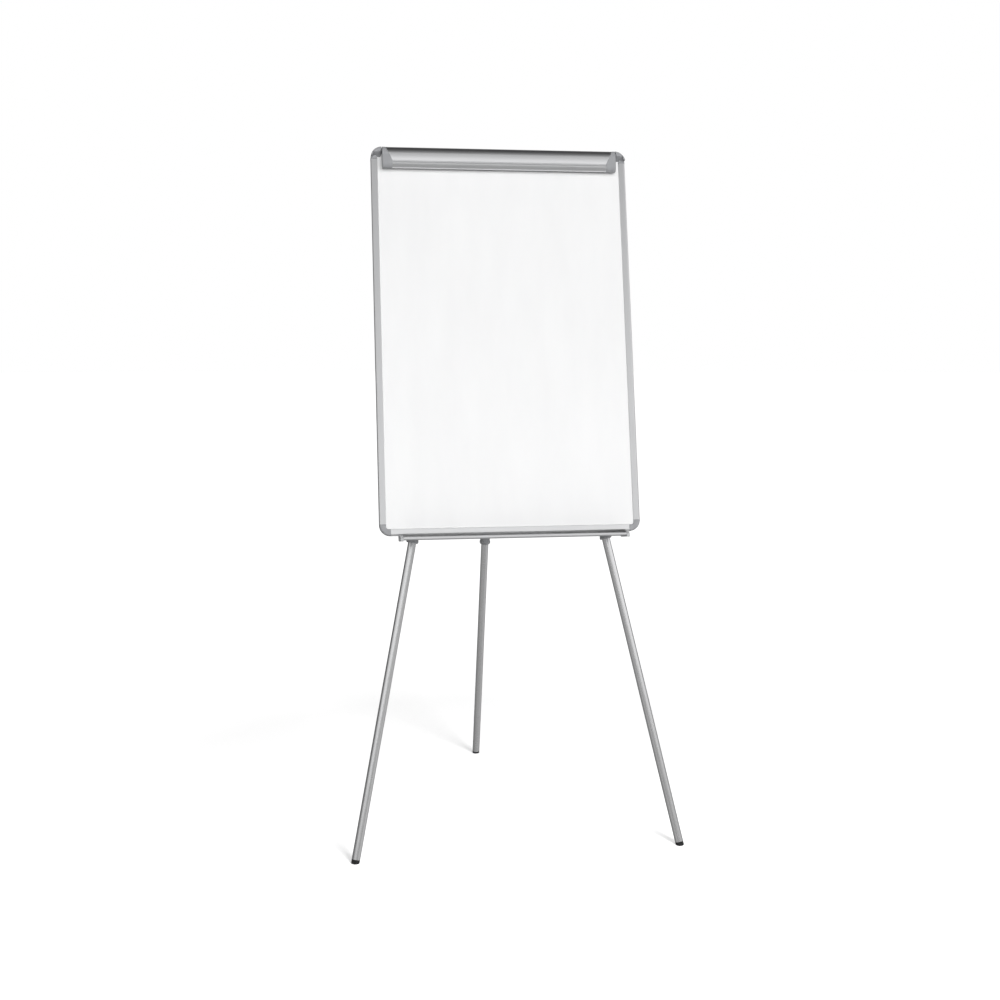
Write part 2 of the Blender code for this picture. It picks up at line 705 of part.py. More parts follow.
def make_head_bracket(board):
    """Moulded plate on the board's back, with two pivot bosses and, lower down, a clevis for the rear leg."""
    front, rear = BOARD_HEIGHT - PIVOT_DROP, BOARD_HEIGHT - REAR_PIVOT_DROP
    plate_top = BACK_FACE + BRACKET_THICK
    plate_place = axes((1, 0, 0), (0, 0, 1), (0, BACK_FACE + BRACKET_THICK / 2, front))
    bracket = extruded("head_bracket", [bracket_outline()], BRACKET_THICK, GREY_PLASTIC, board, plate_place)
    backwards = axes((1, 0, 0), (0, 0, -1), (0, 0, front))
    for side in (-1, 1):
        start, end = plate_top - 2 * MM, PIVOT_BACK - EYE_HALF - GAP
        spot = Matrix.Translation((side * PIVOT_SPREAD, 0, 0)) @ backwards
        boss = cylinder_mesh(f"bracket_boss_{side}", 12 * MM, start, end)
        join(bracket, helper(f"bracket_boss_{side}", boss, board, spot))
        bore = cylinder_mesh(f"bracket_bore_{side}", LEG_PIN_HOLE, BACK_FACE + 1.5 * MM, end + MM, 16)
        cut(bracket, helper(f"bracket_bore_{side}", bore, board, spot))
        ear_low, ear_high = sorted((side * EAR_INNER, side * (EAR_INNER + EAR_THICK)))
        ear = arc((PIVOT_BACK, 0), EYE_RADIUS, 90, -90, 8)
        ear += [(plate_top - 2 * MM, -16 * MM), (plate_top - 2 * MM, 16 * MM)]
        ear = [(-back, up) for back, up in ear]
        label = f"bracket_ear_{side}"
        mesh = curve_to_mesh(outline_curve(label, [ear], ear_high - ear_low), label)
        join(bracket, helper(label, mesh, board, across(((ear_low + ear_high) / 2, 0, rear))))
    pin_line = axes((0, 1, 0), (0, 0, 1), (0, PIVOT_BACK, rear))
    bore = cylinder_mesh("bracket_rear_bore", LEG_PIN_HOLE, -20 * MM, 20 * MM, 16)
    cut(bracket, helper("bracket_rear_bore", bore, board, pin_line))
    for label, x, z in bracket_screw_places():
        hole = cylinder_mesh("hole_" + label, 2.0 * MM + GAP, BACK_FACE - MM, plate_top + MM, 12)
        spot = Matrix.Translation((x, 0, z)) @ axes((1, 0, 0), (0, 0, -1))
        cut(bracket, helper("hole_" + label, hole, board, spot))


def bracket_screw_places():
    upper = BOARD_HEIGHT - PIVOT_DROP + BRACKET_HALF_TALL - 12 * MM
    lower = BOARD_HEIGHT - REAR_PIVOT_DROP - BRACKET_TAB_END + 11 * MM
    places = []
    for side, side_name in ((-1, "left"), (1, "right")):
        places.append((f"bracket_screw_lower_{side_name}", side * (BRACKET_TAB_HALF - 11 * MM), lower))
        places.append((f"bracket_screw_upper_{side_name}", side * (BRACKET_HALF_WIDE - 12 * MM), upper))
    return places


def make_bracket_screws(board):
    """Short screws whose heads hold the bracket; the shanks end in the bracket's plate."""
    top = BACK_FACE + BRACKET_THICK
    profile = [(0, top + 2.4 * MM), (2.2 * MM, top + 2.2 * MM), (3.8 * MM, top + 1.0 * MM), (3.9 * MM, top + GAP)]
    profile += [(2.0 * MM, top + GAP), (2.0 * MM, BACK_FACE + GAP), (0, BACK_FACE + GAP)]
    for name, x, z in bracket_screw_places():
        turned(name, profile, STEEL, board, Matrix.Translation((x, 0, z)) @ axes((1, 0, 0), (0, 0, -1)), 12)


def make_front_leg_pin(name, board, side):
    """Shoulder pin through a front leg's eye into the bracket's boss."""
    head = PIVOT_BACK + EYE_HALF + GAP
    profile = [(0, head + 3.6 * MM), (5.5 * MM, head + 3.6 * MM), (7.5 * MM, head + 2.0 * MM), (7.5 * MM, head)]
    profile += [(LEG_PIN_RADIUS, head), (LEG_PIN_RADIUS, BACK_FACE + 2 * MM), (0, BACK_FACE + 2 * MM)]
    spot = (side * PIVOT_SPREAD, 0, BOARD_HEIGHT - PIVOT_DROP)
    turned(name, profile, STEEL, board, Matrix.Translation(spot) @ axes((1, 0, 0), (0, 0, -1)), 20)


def make_rear_leg_pin(board):
    """Headed pin through the clevis ears and the rear leg's eye."""
    outside = EAR_INNER + EAR_THICK + GAP
    profile = [(0, outside + 2.5 * MM), (4.0 * MM, outside + 2.5 * MM), (5.0 * MM, outside + 1.4 * MM)]
    profile += [(5.0 * MM, outside), (LEG_PIN_RADIUS, outside), (LEG_PIN_RADIUS, -outside - 1.2 * MM)]
    profile += [(2.2 * MM, -outside - 2.0 * MM), (0, -outside - 2.0 * MM)]
    line = axes((0, 1, 0), (0, 0, 1), (0, PIVOT_BACK, BOARD_HEIGHT - REAR_PIVOT_DROP))
    turned("rear_leg_pin", profile, STEEL, board, line, 20)


def make_leg_clip(name, board, side):
    """Moulded stop on the board's back: the opened front leg's tube nests in its notch."""
    down = pivot_point(side).z - CLIP_UP
    centre = side * (PIVOT_SPREAD + down * math.tan(SPLAY))
    outer, inner = centre + side * (OUTER_RADIUS + 9 * MM), centre - side * 4 * MM
    x_low, x_high = sorted((outer, inner))
    clip = box(
        name,
        (x_low, BACK_FACE, CLIP_UP - CLIP_HEIGHT / 2),
        (x_high, PIVOT_BACK + CLIP_REACH, CLIP_UP + CLIP_HEIGHT / 2),
        GREY_PLASTIC,
        board,
        1.5 * MM,
    )
    leg = leg_matrix(side)
    notch_radius = OUTER_RADIUS + GAP
    notch = cylinder_mesh(name + "_notch", notch_radius, -1.2, -0.6, TUBE_SIDES)
    cut(clip, helper(name + "_notch", notch, board, leg))
    way = sorted((-side * 60 * MM, 0.0))
    slot = box_mesh(name + "_slot", (way[0], -notch_radius, -1.2), (way[1], notch_radius, -0.6))
    cut(clip, helper(name + "_slot", slot, board, leg))


# ---------------------------------------------------------------- legs


def make_knuckle(name, leg, side, board):
    """Moulded top of a leg: an eye for the pivot pin and a plug in the tube's end."""
    neck = [(0, -1 * MM), (8.0 * MM, -1 * MM), (8.0 * MM, -16.5 * MM), (OUTER_RADIUS, -21 * MM)]
    neck += [(OUTER_RADIUS, -TUBE_TOP + GAP), (OUTER_BORE - GAP, -TUBE_TOP + GAP)]
    neck += [(OUTER_BORE - GAP, -60 * MM), (OUTER_BORE - 1.3 * MM, -62 * MM), (0, -62 * MM)]
    knuckle = turned(name, neck, GREY_PLASTIC, leg, steps=24)
    pin_line = axes((1, 0, 0), (0, 0, -1)) if side else axes((0, 1, 0), (0, 0, 1))
    eye = cylinder_mesh(name + "_eye", EYE_RADIUS, -EYE_HALF, EYE_HALF)
    bore = cylinder_mesh(name + "_bore", LEG_PIN_HOLE, -2 * EYE_HALF, 2 * EYE_HALF, 16)
    join(knuckle, helper(name + "_eye", eye, leg, pin_line))
    if not side:
        join(knuckle, helper(name + "_heel", rear_heel_mesh(name + "_heel"), board))
    cut(knuckle, helper(name + "_bore", bore, leg, pin_line))


def rear_heel_mesh(name):
    """Stop block of the rear leg's eye, in the board's frame: it bears on the bracket when the leg is open."""
    middle = BOARD_HEIGHT - REAR_PIVOT_DROP
    near = BACK_FACE + BRACKET_THICK + GAP
    half = 6.5 * MM
    return box_mesh(name, (-half, near, middle + 0.5 * MM), (half, PIVOT_BACK, middle + 8 * MM))


def make_tubes(name, leg, side):
    end = leg_length(side) - FOOT_SHOWS
    outer = [(OUTER_RADIUS, -TUBE_TOP), (OUTER_RADIUS, -OUTER_END), (OUTER_BORE, -OUTER_END), (OUTER_BORE, -TUBE_TOP)]
    inner_top = OUTER_END - OVERLAP
    inner = [(INNER_RADIUS, -inner_top), (INNER_RADIUS, -end), (INNER_BORE, -end), (INNER_BORE, -inner_top)]
    turned("outer_tube_" + name, outer, ALUMINIUM, leg, ring=True)
    turned("inner_tube_" + name, inner, ALUMINIUM, leg, ring=True)


def make_guide_plug(name, leg):
    """Glide on the inner tube's top end, which steadies it in the outer tube."""
    top = OUTER_END - OVERLAP
    glide = OUTER_BORE - 0.2 * MM
    profile = [(0, -top + 9 * MM), (glide - 0.8 * MM, -top + 9 * MM), (glide, -top + 8 * MM)]
    profile += [(glide, -top + GAP), (INNER_BORE - GAP, -top + GAP), (INNER_BORE - GAP, -top - 14 * MM)]
    profile += [(0, -top - 14 * MM)]
    turned("guide_plug_" + name, profile, DARK_PLASTIC, leg, steps=24)


def make_lock(name, leg):
    """Twist lock at the outer tube's end: a collet round the inner tube inside a flared collar."""
    start = -OUTER_END
    bore = INNER_RADIUS + GAP
    collet = [(13.1 * MM, start - GAP), (13.5 * MM, start - 7.5 * MM), (bore, start - 7.5 * MM), (bore, start - GAP)]
    turned("collet_" + name, collet, DARK_PLASTIC, leg, ring=True)
    collar = [
        (14.2 * MM, start + 24 * MM),
        (14.8 * MM, start + 22.5 * MM),
        (14.8 * MM, start - 4 * MM),
        (15.8 * MM, start - 6.5 * MM),
        (16.2 * MM, start - 8 * MM),
        (16.2 * MM, start - 12.5 * MM),
        (15.4 * MM, start - 13.5 * MM),
        (bore + 0.2 * MM, start - 13.5 * MM),
        (bore + 0.2 * MM, start - 8.2 * MM),
        (13.9 * MM, start - 8.2 * MM),
        (13.9 * MM, start + 1 * MM),
        (OUTER_RADIUS + GAP, start + 2.5 * MM),
        (OUTER_RADIUS + GAP, start + 24 * MM),
    ]
    turned("lock_collar_" + name, collar, GREY_PLASTIC, leg, ring=True)


def make_foot(name, leg, side):
    """Rubber foot: a plug in the inner tube and a rounded tip, cut flat where it stands."""
    length = leg_length(side)
    seat = length - FOOT_SHOWS + GAP
    profile = [
        (0, -seat + 16 * MM),
        (INNER_BORE - GAP, -seat + 16 * MM),
        (INNER_BORE - GAP, -seat),
        (INNER_RADIUS, -seat),
        (INNER_RADIUS, -length + 0.5 * MM),
        (10.4 * MM, -length - 1.6 * MM),
        (9.0 * MM, -length - 3.2 * MM),
        (6.0 * MM, -length - 4.4 * MM),
        (0, -length - 4.8 * MM),
    ]
    foot = turned("foot_" + name, profile, RUBBER, leg, steps=24)
    floor = helper("floor_" + name, box_mesh("floor_" + name, (-1, -1, -0.1), (1, 1, 0)), None)
    cut(foot, floor)


def make_leg(name, side, board):
    leg = frame_empty(f"{name}_leg_frame", leg_matrix(side), board)
    make_knuckle("leg_knuckle_" + name, leg, side, board)
    make_tubes(name, leg, side)
    make_guide_plug(name, leg)
    make_lock(name, leg)
    make_foot(name, leg, side)


# ---------------------------------------------------------------- assembly


def make_board(board):
    make_rails(board)
    make_sandwich(board)
    for level, top in (("bottom", False), ("top", True)):
        for side, side_name in ((-1, "left"), (1, "right")):
            make_corner_cap(f"corner_cap_{level}_{side_name}", board, side, top)
    make_hook_rail(board)
    make_tray(board)
    make_head_bracket(board)
    make_bracket_screws(board)
    make_rear_leg_pin(board)
    for side, side_name in ((-1, "left"), (1, "right")):
        make_tray_end("tray_end_" + side_name, board, side)
        make_tray_screw("tray_screw_" + side_name, board, side)
        make_front_leg_pin("front_leg_pin_" + side_name, board, side)
        make_leg_clip("leg_clip_" + side_name, board, side)
        make_hinge_pin("clamp_pin_" + side_name, board, side)
        make_spring("clamp_spring_" + side_name, board, side)
        make_pad_hook("pad_hook_" + side_name, board, side)


def make_clamp(board):
    hinge_place = Matrix.Translation((0, -HINGE_OUT, BOARD_HEIGHT - HINGE_DOWN))
    hinge = frame_empty("clamp_hinge_frame", hinge_place, board)
    to_board = hinge_place.inverted()
    make_clamp_bar(hinge, to_board)
    make_grip_strip(hinge, to_board)
    for side, side_name in ((-1, "left"), (1, "right")):
        make_clamp_end_cap("clamp_end_" + side_name, hinge, to_board, side)


clear_scene()
PARTS = new_collection("flipchart_easel")
CUTTERS = new_collection("cutters")
BOARD = frame_empty("board_frame", board_matrix())
make_board(BOARD)
make_clamp(BOARD)
for leg_name, leg_side in (("left", -1), ("right", 1), ("rear", 0)):
    make_leg(leg_name, leg_side, BOARD)
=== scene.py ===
"""Looks of the flipchart easel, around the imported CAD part. Metres, in the part's own frame."""

import json
import math

import bmesh
import bpy
from mathutils import Matrix, Vector


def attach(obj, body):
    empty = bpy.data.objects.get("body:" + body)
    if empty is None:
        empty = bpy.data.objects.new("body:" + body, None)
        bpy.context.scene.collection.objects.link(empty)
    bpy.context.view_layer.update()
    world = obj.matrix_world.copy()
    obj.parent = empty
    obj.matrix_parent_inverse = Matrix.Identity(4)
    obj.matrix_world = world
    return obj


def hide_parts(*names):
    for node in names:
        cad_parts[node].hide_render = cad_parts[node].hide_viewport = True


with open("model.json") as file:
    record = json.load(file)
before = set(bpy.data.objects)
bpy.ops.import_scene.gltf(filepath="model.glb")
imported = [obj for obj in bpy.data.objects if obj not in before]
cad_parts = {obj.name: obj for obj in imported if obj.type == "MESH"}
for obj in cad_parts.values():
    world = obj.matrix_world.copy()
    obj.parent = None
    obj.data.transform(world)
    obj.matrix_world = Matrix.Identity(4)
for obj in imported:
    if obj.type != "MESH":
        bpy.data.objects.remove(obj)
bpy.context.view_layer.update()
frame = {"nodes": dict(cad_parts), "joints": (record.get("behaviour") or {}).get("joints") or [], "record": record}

MM = 0.001
NODES = frame["nodes"]
JOINTS = {joint["name"]: joint for joint in frame["joints"]}
MOUNTS = {mount["name"]: mount for mount in frame["record"]["mounts"]}
SIDES = (("left", -1), ("right", 1))
LEGS = ("left", "right", "rear")

# Sizes the CAD part is built to
BOARD_WIDTH = 0.700
BOARD_HEIGHT = 1.048
HINGE_OUT = 9.0 * MM
HINGE_DOWN = 9.0 * MM
RAIL_FACE = 18 * MM
RAIL_DEPTH = 20 * MM
RAIL_EDGE = 4.5 * MM
LIP = 2.2 * MM
GROOVE_START = 10.5 * MM
GROOVE_BACK = 17.6 * MM
CORNER = 30 * MM
CORNER_PROUD = 0.8 * MM
CLAMP_WALL = 1.6 * MM
CLAMP_SEEN_HALF = 0.3172
CLAMP_END = 0.320
CAP_SEAM_TOP = 0.3150
CAP_SEAM_LOW = 0.2930
TRAY_HALF = 0.2925
TRAY_END = 0.301
TRAY_WALL = 1.8 * MM
OUTER_RADIUS = 12.5 * MM
INNER_RADIUS = 11.0 * MM
TUBE_TOP = 25.3 * MM
OUTER_END = 0.992
OVERLAP = 0.120
FOOT_SHOWS = 9 * MM
BRACKET_THICK = 4 * MM
PIVOT_DROP = 80 * MM
REAR_PIVOT_DROP = 159 * MM
PIVOT_BACK = 36 * MM
PIVOT_SPREAD = 61 * MM
EYE_RADIUS = 11 * MM
EYE_HALF = 8.2 * MM
LEG_PIN_RADIUS = 3.0 * MM

# Sizes of the visible pieces alone
GAP = 0.3 * MM
CORNER_FILLET = 7 * MM
CHEEK_PROUD = 12.5 * MM
CHEEK_FILLET = 6 * MM
CLAMP_SKIN = 0.45 * MM
CLAMP_END_ROUNDING = 1.2 * MM
FOOT_EDGE = 2 * MM
SPRING_TURNS = 4
SPRING_WIRE = 0.45 * MM
SPRING_PITCH = 1.7 * MM
SPRING_RADIUS = 3.0 * MM
SPRING_START = 0.3068
EAR_INSIDE = 9.0 * MM
EAR_OUTSIDE = 13.5 * MM
RIB_HALF = 0.9 * MM
RIB_HEIGHT = 2.6 * MM
# Each rib's two ends as (across, down) from the front pivots' line, in millimetres
RIBS = (((74, -8), (99, -22)), ((30, 6), (49, 2)), ((24, 36), (50, 14)))

# Colours and the scale of the draw lines in anodised metal, across and along; the rails across the board have the
# rail metal painted lighter than the upright rails, as painted light
RAIL_ACROSS_PAINTED_LIGHT = (0.97, 0.975, 0.985)
RAIL_UPRIGHT = (0.80, 0.805, 0.815)
CLAMP_METAL = (0.84, 0.845, 0.855)
TRAY_METAL = (0.78, 0.785, 0.795)
TUBE_METAL = (0.80, 0.803, 0.81)
GREY = (0.34, 0.345, 0.358)
LIGHT_GREY = (0.50, 0.505, 0.515)
BLACK = (0.022, 0.022, 0.024)
DRAW_LINES = (1900, 1900, 9)
DRAW_CLOUD = (14, 14, 5)

CAMERA_PLACE = Vector((-0.559, -3.7889, 1.324))
CAMERA_YAW = math.radians(8.58)
CAMERA_PITCH = math.radians(-6.63)
CAMERA_LENS = 48.56
SENSOR_WIDTH = 36

FILL_BEARING = math.radians(16)
FILL_HEIGHT = math.radians(17)
FILL_STRENGTH = 2.2
BACK_BEARING = math.radians(195)
BACK_HEIGHT = math.radians(28)
BACK_STRENGTH = 1.5
SUN_SOFTNESS = math.radians(60)

FLOOR_LAMP_PLACE = Vector((1.0, -3.0, 2.6))
FLOOR_LAMP_SIZE = 1.3
FLOOR_LAMP_POWER = 130.0
FLOOR_RADIUS = 60.0
FLOOR_SEEN = 0.90
FLOOR_REFLECTED = 0.42
# The floor's own glow, by (distance from the middle, strength)
FLOOR_GLOW = ((0.0, 0.51), (1.1, 0.51), (2.2, 0.80), (4.0, 0.88))

# Studio brightness by (elevation in degrees, share) and (bearing in degrees, share); bearing 0 is the front
STUDIO_BY_HEIGHT = (
    (-90, 0.40), (-20, 0.38), (0, 0.33), (5, 0.36), (9, 0.56), (13, 1.00), (17, 1.38), (21, 1.12),
    (26, 0.72), (33, 0.42), (45, 0.25), (60, 0.12), (90, 0.05),
)
STUDIO_BY_BEARING = (
    (-180, 0.85), (-158, 0.75), (-142, 0.25), (-120, 0.18), (-95, 0.25), (-70, 0.62), (-45, 0.90), (-20, 1.0),
    (3, 1.0), (14, 0.97), (40, 1.05), (65, 1.05), (90, 0.85), (120, 0.55), (150, 0.75), (180, 0.85),
)
# The bright floor that the sides of round things mirror, by (height, share) and by (sideways, share)
FLOOR_BY_HEIGHT = ((-1, 0.0), (-0.5, 0.18), (-0.15, 0.24), (0.08, 0.0), (1, 0.0))
FLOOR_BY_SIDE = ((0, 0.0), (0.5, 0.0), (0.85, 1.0), (1, 1.0))


# ---------------------------------------------------------------- frames


def frame_matrix(x_axis, y_axis, origin):
    """A frame with the given x and y axes; its z axis is their cross product."""
    x_axis, y_axis = Vector(x_axis).normalized(), Vector(y_axis).normalized()
    turn = Matrix((x_axis, y_axis, x_axis.cross(y_axis))).transposed()
    return Matrix.Translation(origin) @ turn.to_4x4()


def board_frame():
    """The board's frame: x across, y towards its back, z up the board from its bottom edge."""
    out = Vector(MOUNTS["writing_face"]["axis"])
    up = out.cross(Vector((1, 0, 0)))
    hinge = Vector(JOINTS["clamp_hinge"]["pos_m"])
    origin = hinge - up * (BOARD_HEIGHT - HINGE_DOWN) - out * HINGE_OUT
    return frame_matrix((1, 0, 0), -out, origin)


def leg_frame(name):
    """A leg's frame: its pivot at the origin and z up the leg; y points to the board's back, or x across."""
    pivot = Vector(JOINTS["leg_fold_" + name]["pos_m"])
    up = Vector(JOINTS["leg_slide_" + name]["axis"])
    if name == "rear":
        return frame_matrix((1, 0, 0), up.cross(Vector((1, 0, 0))), pivot)
    back = -Vector(MOUNTS["writing_face"]["axis"])
    return frame_matrix(back.cross(up), back, pivot)


BOARD = board_frame()
LEG = {name: leg_frame(name) for name in LEGS}


# ---------------------------------------------------------------- material helpers


class Nodes:
    """Short ways to add and join nodes in a material's tree."""

    def __init__(self, name):
        self.material = bpy.data.materials.new(name)
        self.material.use_nodes = True
        self.tree = self.material.node_tree
        self.shader = self.tree.nodes["Principled BSDF"]

    def add(self, kind, **settings):
        node = self.tree.nodes.new(kind)
        for key, value in settings.items():
            setattr(node, key, value)
        return node

    def link(self, source, target):
        self.tree.links.new(source, target)

    def coordinates(self, matrix, scale):
        """Object coordinates turned into a frame's own axes, then scaled."""
        where = self.add("ShaderNodeTexCoord")
        turn = self.add("ShaderNodeMapping")
        turn.inputs["Rotation"].default_value = matrix.to_3x3().inverted().to_euler()
        stretch = self.add("ShaderNodeMapping")
        stretch.inputs["Scale"].default_value = scale
        self.link(where.outputs["Object"], turn.inputs["Vector"])
        self.link(turn.outputs["Vector"], stretch.inputs["Vector"])
        return stretch.outputs["Vector"]

    def plain_coordinates(self):
        return self.coordinates(Matrix.Identity(4), (1, 1, 1))

    def noise(self, vector, scale, detail=3.0, roughness=0.55):
        noise = self.add("ShaderNodeTexNoise")
        noise.inputs["Scale"].default_value = scale
        noise.inputs["Detail"].default_value = detail
        noise.inputs["Roughness"].default_value = roughness
        self.link(vector, noise.inputs["Vector"])
        return noise.outputs["Fac"]

    def ramp(self, factor, stops):
        """A colour ramp of (position, colour or grey) stops."""
        ramp = self.add("ShaderNodeValToRGB")
        elements = ramp.color_ramp.elements
        while len(elements) < len(stops):
            elements.new(0.5)
        for element, (position, colour) in zip(elements, stops):
            element.position = position
            grey = isinstance(colour, float)
            element.color = (colour, colour, colour, 1) if grey else (*colour, 1)
        self.link(factor, ramp.inputs["Fac"])
        return ramp.outputs["Color"]

    def bump(self, height, distance, strength=1.0, below=None):
        bump = self.add("ShaderNodeBump")
        bump.inputs["Distance"].default_value = distance
        bump.inputs["Strength"].default_value = strength
        self.link(height, bump.inputs["Height"])
        if below is not None:
            self.link(below, bump.inputs["Normal"])
        return bump.outputs["Normal"]

    def set(self, socket, value):
        self.shader.inputs[socket].default_value = value

    def feed(self, socket, output):
        self.link(output, self.shader.inputs[socket])


def shade(colour, factor):
    return tuple(channel * factor for channel in colour)


# ---------------------------------------------------------------- materials


def anodised(name, matrix, colour, rough=0.34, spread=0.05, grain=0.012):
    """Satin anodised extrusion: fine draw lines along the frame's z axis, faint clouding."""
    made = Nodes(name)
    lines = made.noise(made.coordinates(matrix, DRAW_LINES), 1.0, 3.0, 0.6)
    cloud = made.noise(made.coordinates(matrix, DRAW_CLOUD), 1.0, 4.0)
    made.feed("Base Color", made.ramp(cloud, [(0.3, shade(colour, 0.965)), (0.7, colour)]))
    made.feed("Roughness", made.ramp(lines, [(0.25, rough - spread), (0.75, rough + spread)]))
    made.feed("Normal", made.bump(lines, grain * MM, 0.6))
    made.set("Metallic", 1.0)
    return made.material


def moulded(name, colour, rough=0.46, texture=0.05):
    """Injection-moulded plastic with a fine spark-eroded texture."""
    made = Nodes(name)
    where = made.plain_coordinates()
    fine = made.noise(where, 1400.0, 2.0)
    cloud = made.noise(where, 60.0, 4.0)
    made.feed("Base Color", made.ramp(cloud, [(0.3, shade(colour, 0.93)), (0.7, shade(colour, 1.04))]))
    made.feed("Roughness", made.ramp(fine, [(0.3, rough - 0.06), (0.7, rough + 0.06)]))
    made.feed("Normal", made.bump(fine, texture * MM, 0.5))
    made.set("Specular IOR Level", 0.5)
    return made.material


def lacquer(name):
    """White dry-wipe lacquer: glossy, with a faint orange peel and faint wipe marks."""
    made = Nodes(name)
    peel = made.noise(made.coordinates(BOARD, (1, 1, 1)), 260.0, 1.0)
    wipe = made.noise(made.coordinates(BOARD, (7, 1, 1.6)), 2.2, 5.0, 0.6)
    made.feed("Base Color", made.ramp(wipe, [(0.3, (0.90, 0.902, 0.905)), (0.7, (0.925, 0.926, 0.928))]))
    made.feed("Roughness", made.ramp(wipe, [(0.3, 0.13), (0.75, 0.22)]))
    made.feed("Normal", made.bump(peel, 0.012 * MM, 0.5))
    made.set("Specular IOR Level", 0.45)
    return made.material


def galvanised(name):
    """Galvanised backing sheet: zinc spangle in large soft crystals."""
    made = Nodes(name)
    crystal = made.add("ShaderNodeTexVoronoi")
    crystal.inputs["Scale"].default_value = 130.0
    made.link(made.coordinates(BOARD, (1, 1, 1)), crystal.inputs["Vector"])
    grey = made.add("ShaderNodeRGBToBW")
    made.link(crystal.outputs["Color"], grey.inputs["Color"])
    level = grey.outputs["Val"]
    made.feed("Base Color", made.ramp(level, [(0.2, (0.50, 0.51, 0.52)), (0.8, (0.62, 0.63, 0.64))]))
    made.feed("Roughness", made.ramp(level, [(0.2, 0.52), (0.8, 0.38)]))
    made.set("Metallic", 0.9)
    return made.material


def fibreboard(name):
    """Pressed fibreboard: brown, with fine fibres."""
    made = Nodes(name)
    fibres = made.noise(made.coordinates(BOARD, (60, 400, 60)), 3.0, 6.0)
    made.feed("Base Color", made.ramp(fibres, [(0.3, (0.34, 0.24, 0.15)), (0.7, (0.50, 0.38, 0.26))]))
    made.set("Roughness", 0.9)
    return made.material


def zinc(name, colour=(0.62, 0.62, 0.63), rough=0.32):
    """Zinc-plated steel for screws, pins and springs."""
    made = Nodes(name)
    where = made.plain_coordinates()
    cloud = made.noise(where, 420.0, 3.0)
    made.feed("Base Color", made.ramp(cloud, [(0.3, shade(colour, 0.86)), (0.7, colour)]))
    made.feed("Roughness", made.ramp(cloud, [(0.3, rough - 0.06), (0.7, rough + 0.10)]))
    made.set("Metallic", 1.0)
    return made.material


def rubber(name, colour=(0.016, 0.016, 0.017)):
    """Matt black rubber with a fine grain and a little dust."""
    made = Nodes(name)
    where = made.plain_coordinates()
    grain = made.noise(where, 900.0, 3.0)
    dust = made.noise(where, 140.0, 4.0)
    made.feed("Base Color", made.ramp(dust, [(0.35, colour), (0.8, shade(colour, 2.2))]))
    made.feed("Roughness", made.ramp(grain, [(0.3, 0.62), (0.7, 0.82)]))
    made.feed("Normal", made.bump(grain, 0.12 * MM, 0.5))
    return made.material


def make_materials():
    """The materials by name. Grain runs along the board's width, its height or a leg."""
    along_x = BOARD @ Matrix.Rotation(math.radians(90), 4, "Y")
    made = {
        # the rails across the board: the same rail metal painted lighter, as painted light
        "rail_across_painted_light": anodised("rail_across_painted_light", along_x, RAIL_ACROSS_PAINTED_LIGHT),
        "rail_upright": anodised("rail_upright", BOARD, RAIL_UPRIGHT),
        "clamp_metal": anodised("clamp_metal", along_x, CLAMP_METAL, 0.30),
        "tray_metal": anodised("tray_metal", along_x, TRAY_METAL, 0.32),
        "lacquer": lacquer("lacquer"),
        "galvanised": galvanised("galvanised"),
        "fibreboard": fibreboard("fibreboard"),
        "grey_plastic": moulded("grey_plastic", GREY),
        "light_plastic": moulded("light_plastic", LIGHT_GREY, 0.4),
        "black_plastic": moulded("black_plastic", BLACK, 0.42),
        "zinc": zinc("zinc"),
        "rubber": rubber("rubber"),
    }
    for name in LEGS:
        made["tube_" + name] = anodised("tube_" + name, LEG[name], TUBE_METAL, 0.27)
    return made


def cad_material(node, made):
    """The material a carried-over CAD node is shown in."""
    exact = {
        "writing_panel": "lacquer",
        "back_sheet": "galvanised",
        "board_core": "fibreboard",
        "frame_rail_left": "rail_upright",
        "frame_rail_right": "rail_upright",
        "clamp_bar": "clamp_metal",
        "pen_tray": "tray_metal",
        "clamp_grip_strip": "rubber",
    }
    starts = (
        ("frame_rail", "rail_across_painted_light"),
        ("hook_rail", "rail_across_painted_light"),
        ("tray_end", "light_plastic"),
        (("clamp_pin", "clamp_spring", "tray_screw", "bracket_screw"), "zinc"),
        (("front_leg_pin", "rear_leg_pin"), "zinc"),
        (("pad_hook", "collet", "guide_plug"), "black_plastic"),
        ("foot", "rubber"),
    )
    if node in exact:
        return made[exact[node]]
    if "_tube_" in node:
        return made["tube_" + node.rsplit("_", 1)[1]]
    for start, key in starts:
        if node.startswith(start):
            return made[key]
    return made["grey_plastic"]


def dress_cad_nodes(made):
    """Gives each CAD node its material, for those that no visible piece replaces."""
    for name, node in NODES.items():
        material = cad_material(name, made)
        for slot in node.material_slots:
            slot.link = "DATA"
            slot.material = material
        if not node.material_slots:
            node.data.materials.append(material)


# ---------------------------------------------------------------- shape helpers


def arc(centre, radius, start, end, steps):
    """Points of an arc, in degrees; radius is a number or a pair for an ellipse."""
    across, along = radius if isinstance(radius, tuple) else (radius, radius)
    points = []
    for step in range(steps + 1):
        angle = math.radians(start + (end - start) * step / steps)
        points.append((centre[0] + across * math.cos(angle), centre[1] + along * math.sin(angle)))
    return points


def mm(points, rise=0.0):
    """Points given in millimetres; rise, in metres, is added to each second value."""
    return [(first * MM, rise + second * MM) for first, second in points]


def offset_path(path, distance):
    """The path moved to its left by distance, with mitred corners."""
    moved = []
    for index, point in enumerate(path):
        here = Vector(point)
        before = here - Vector(path[index - 1]) if index else None
        after = Vector(path[index + 1]) - here if index + 1 < len(path) else None
        before = (before or after).normalized()
        after = (after or before).normalized()
        left_before = Vector((-before.y, before.x))
        left_after = Vector((-after.y, after.x))
        mitre = (left_before + left_after).normalized()
        moved.append(tuple(here + mitre * (distance / max(0.5, mitre.dot(left_after)))))
    return moved


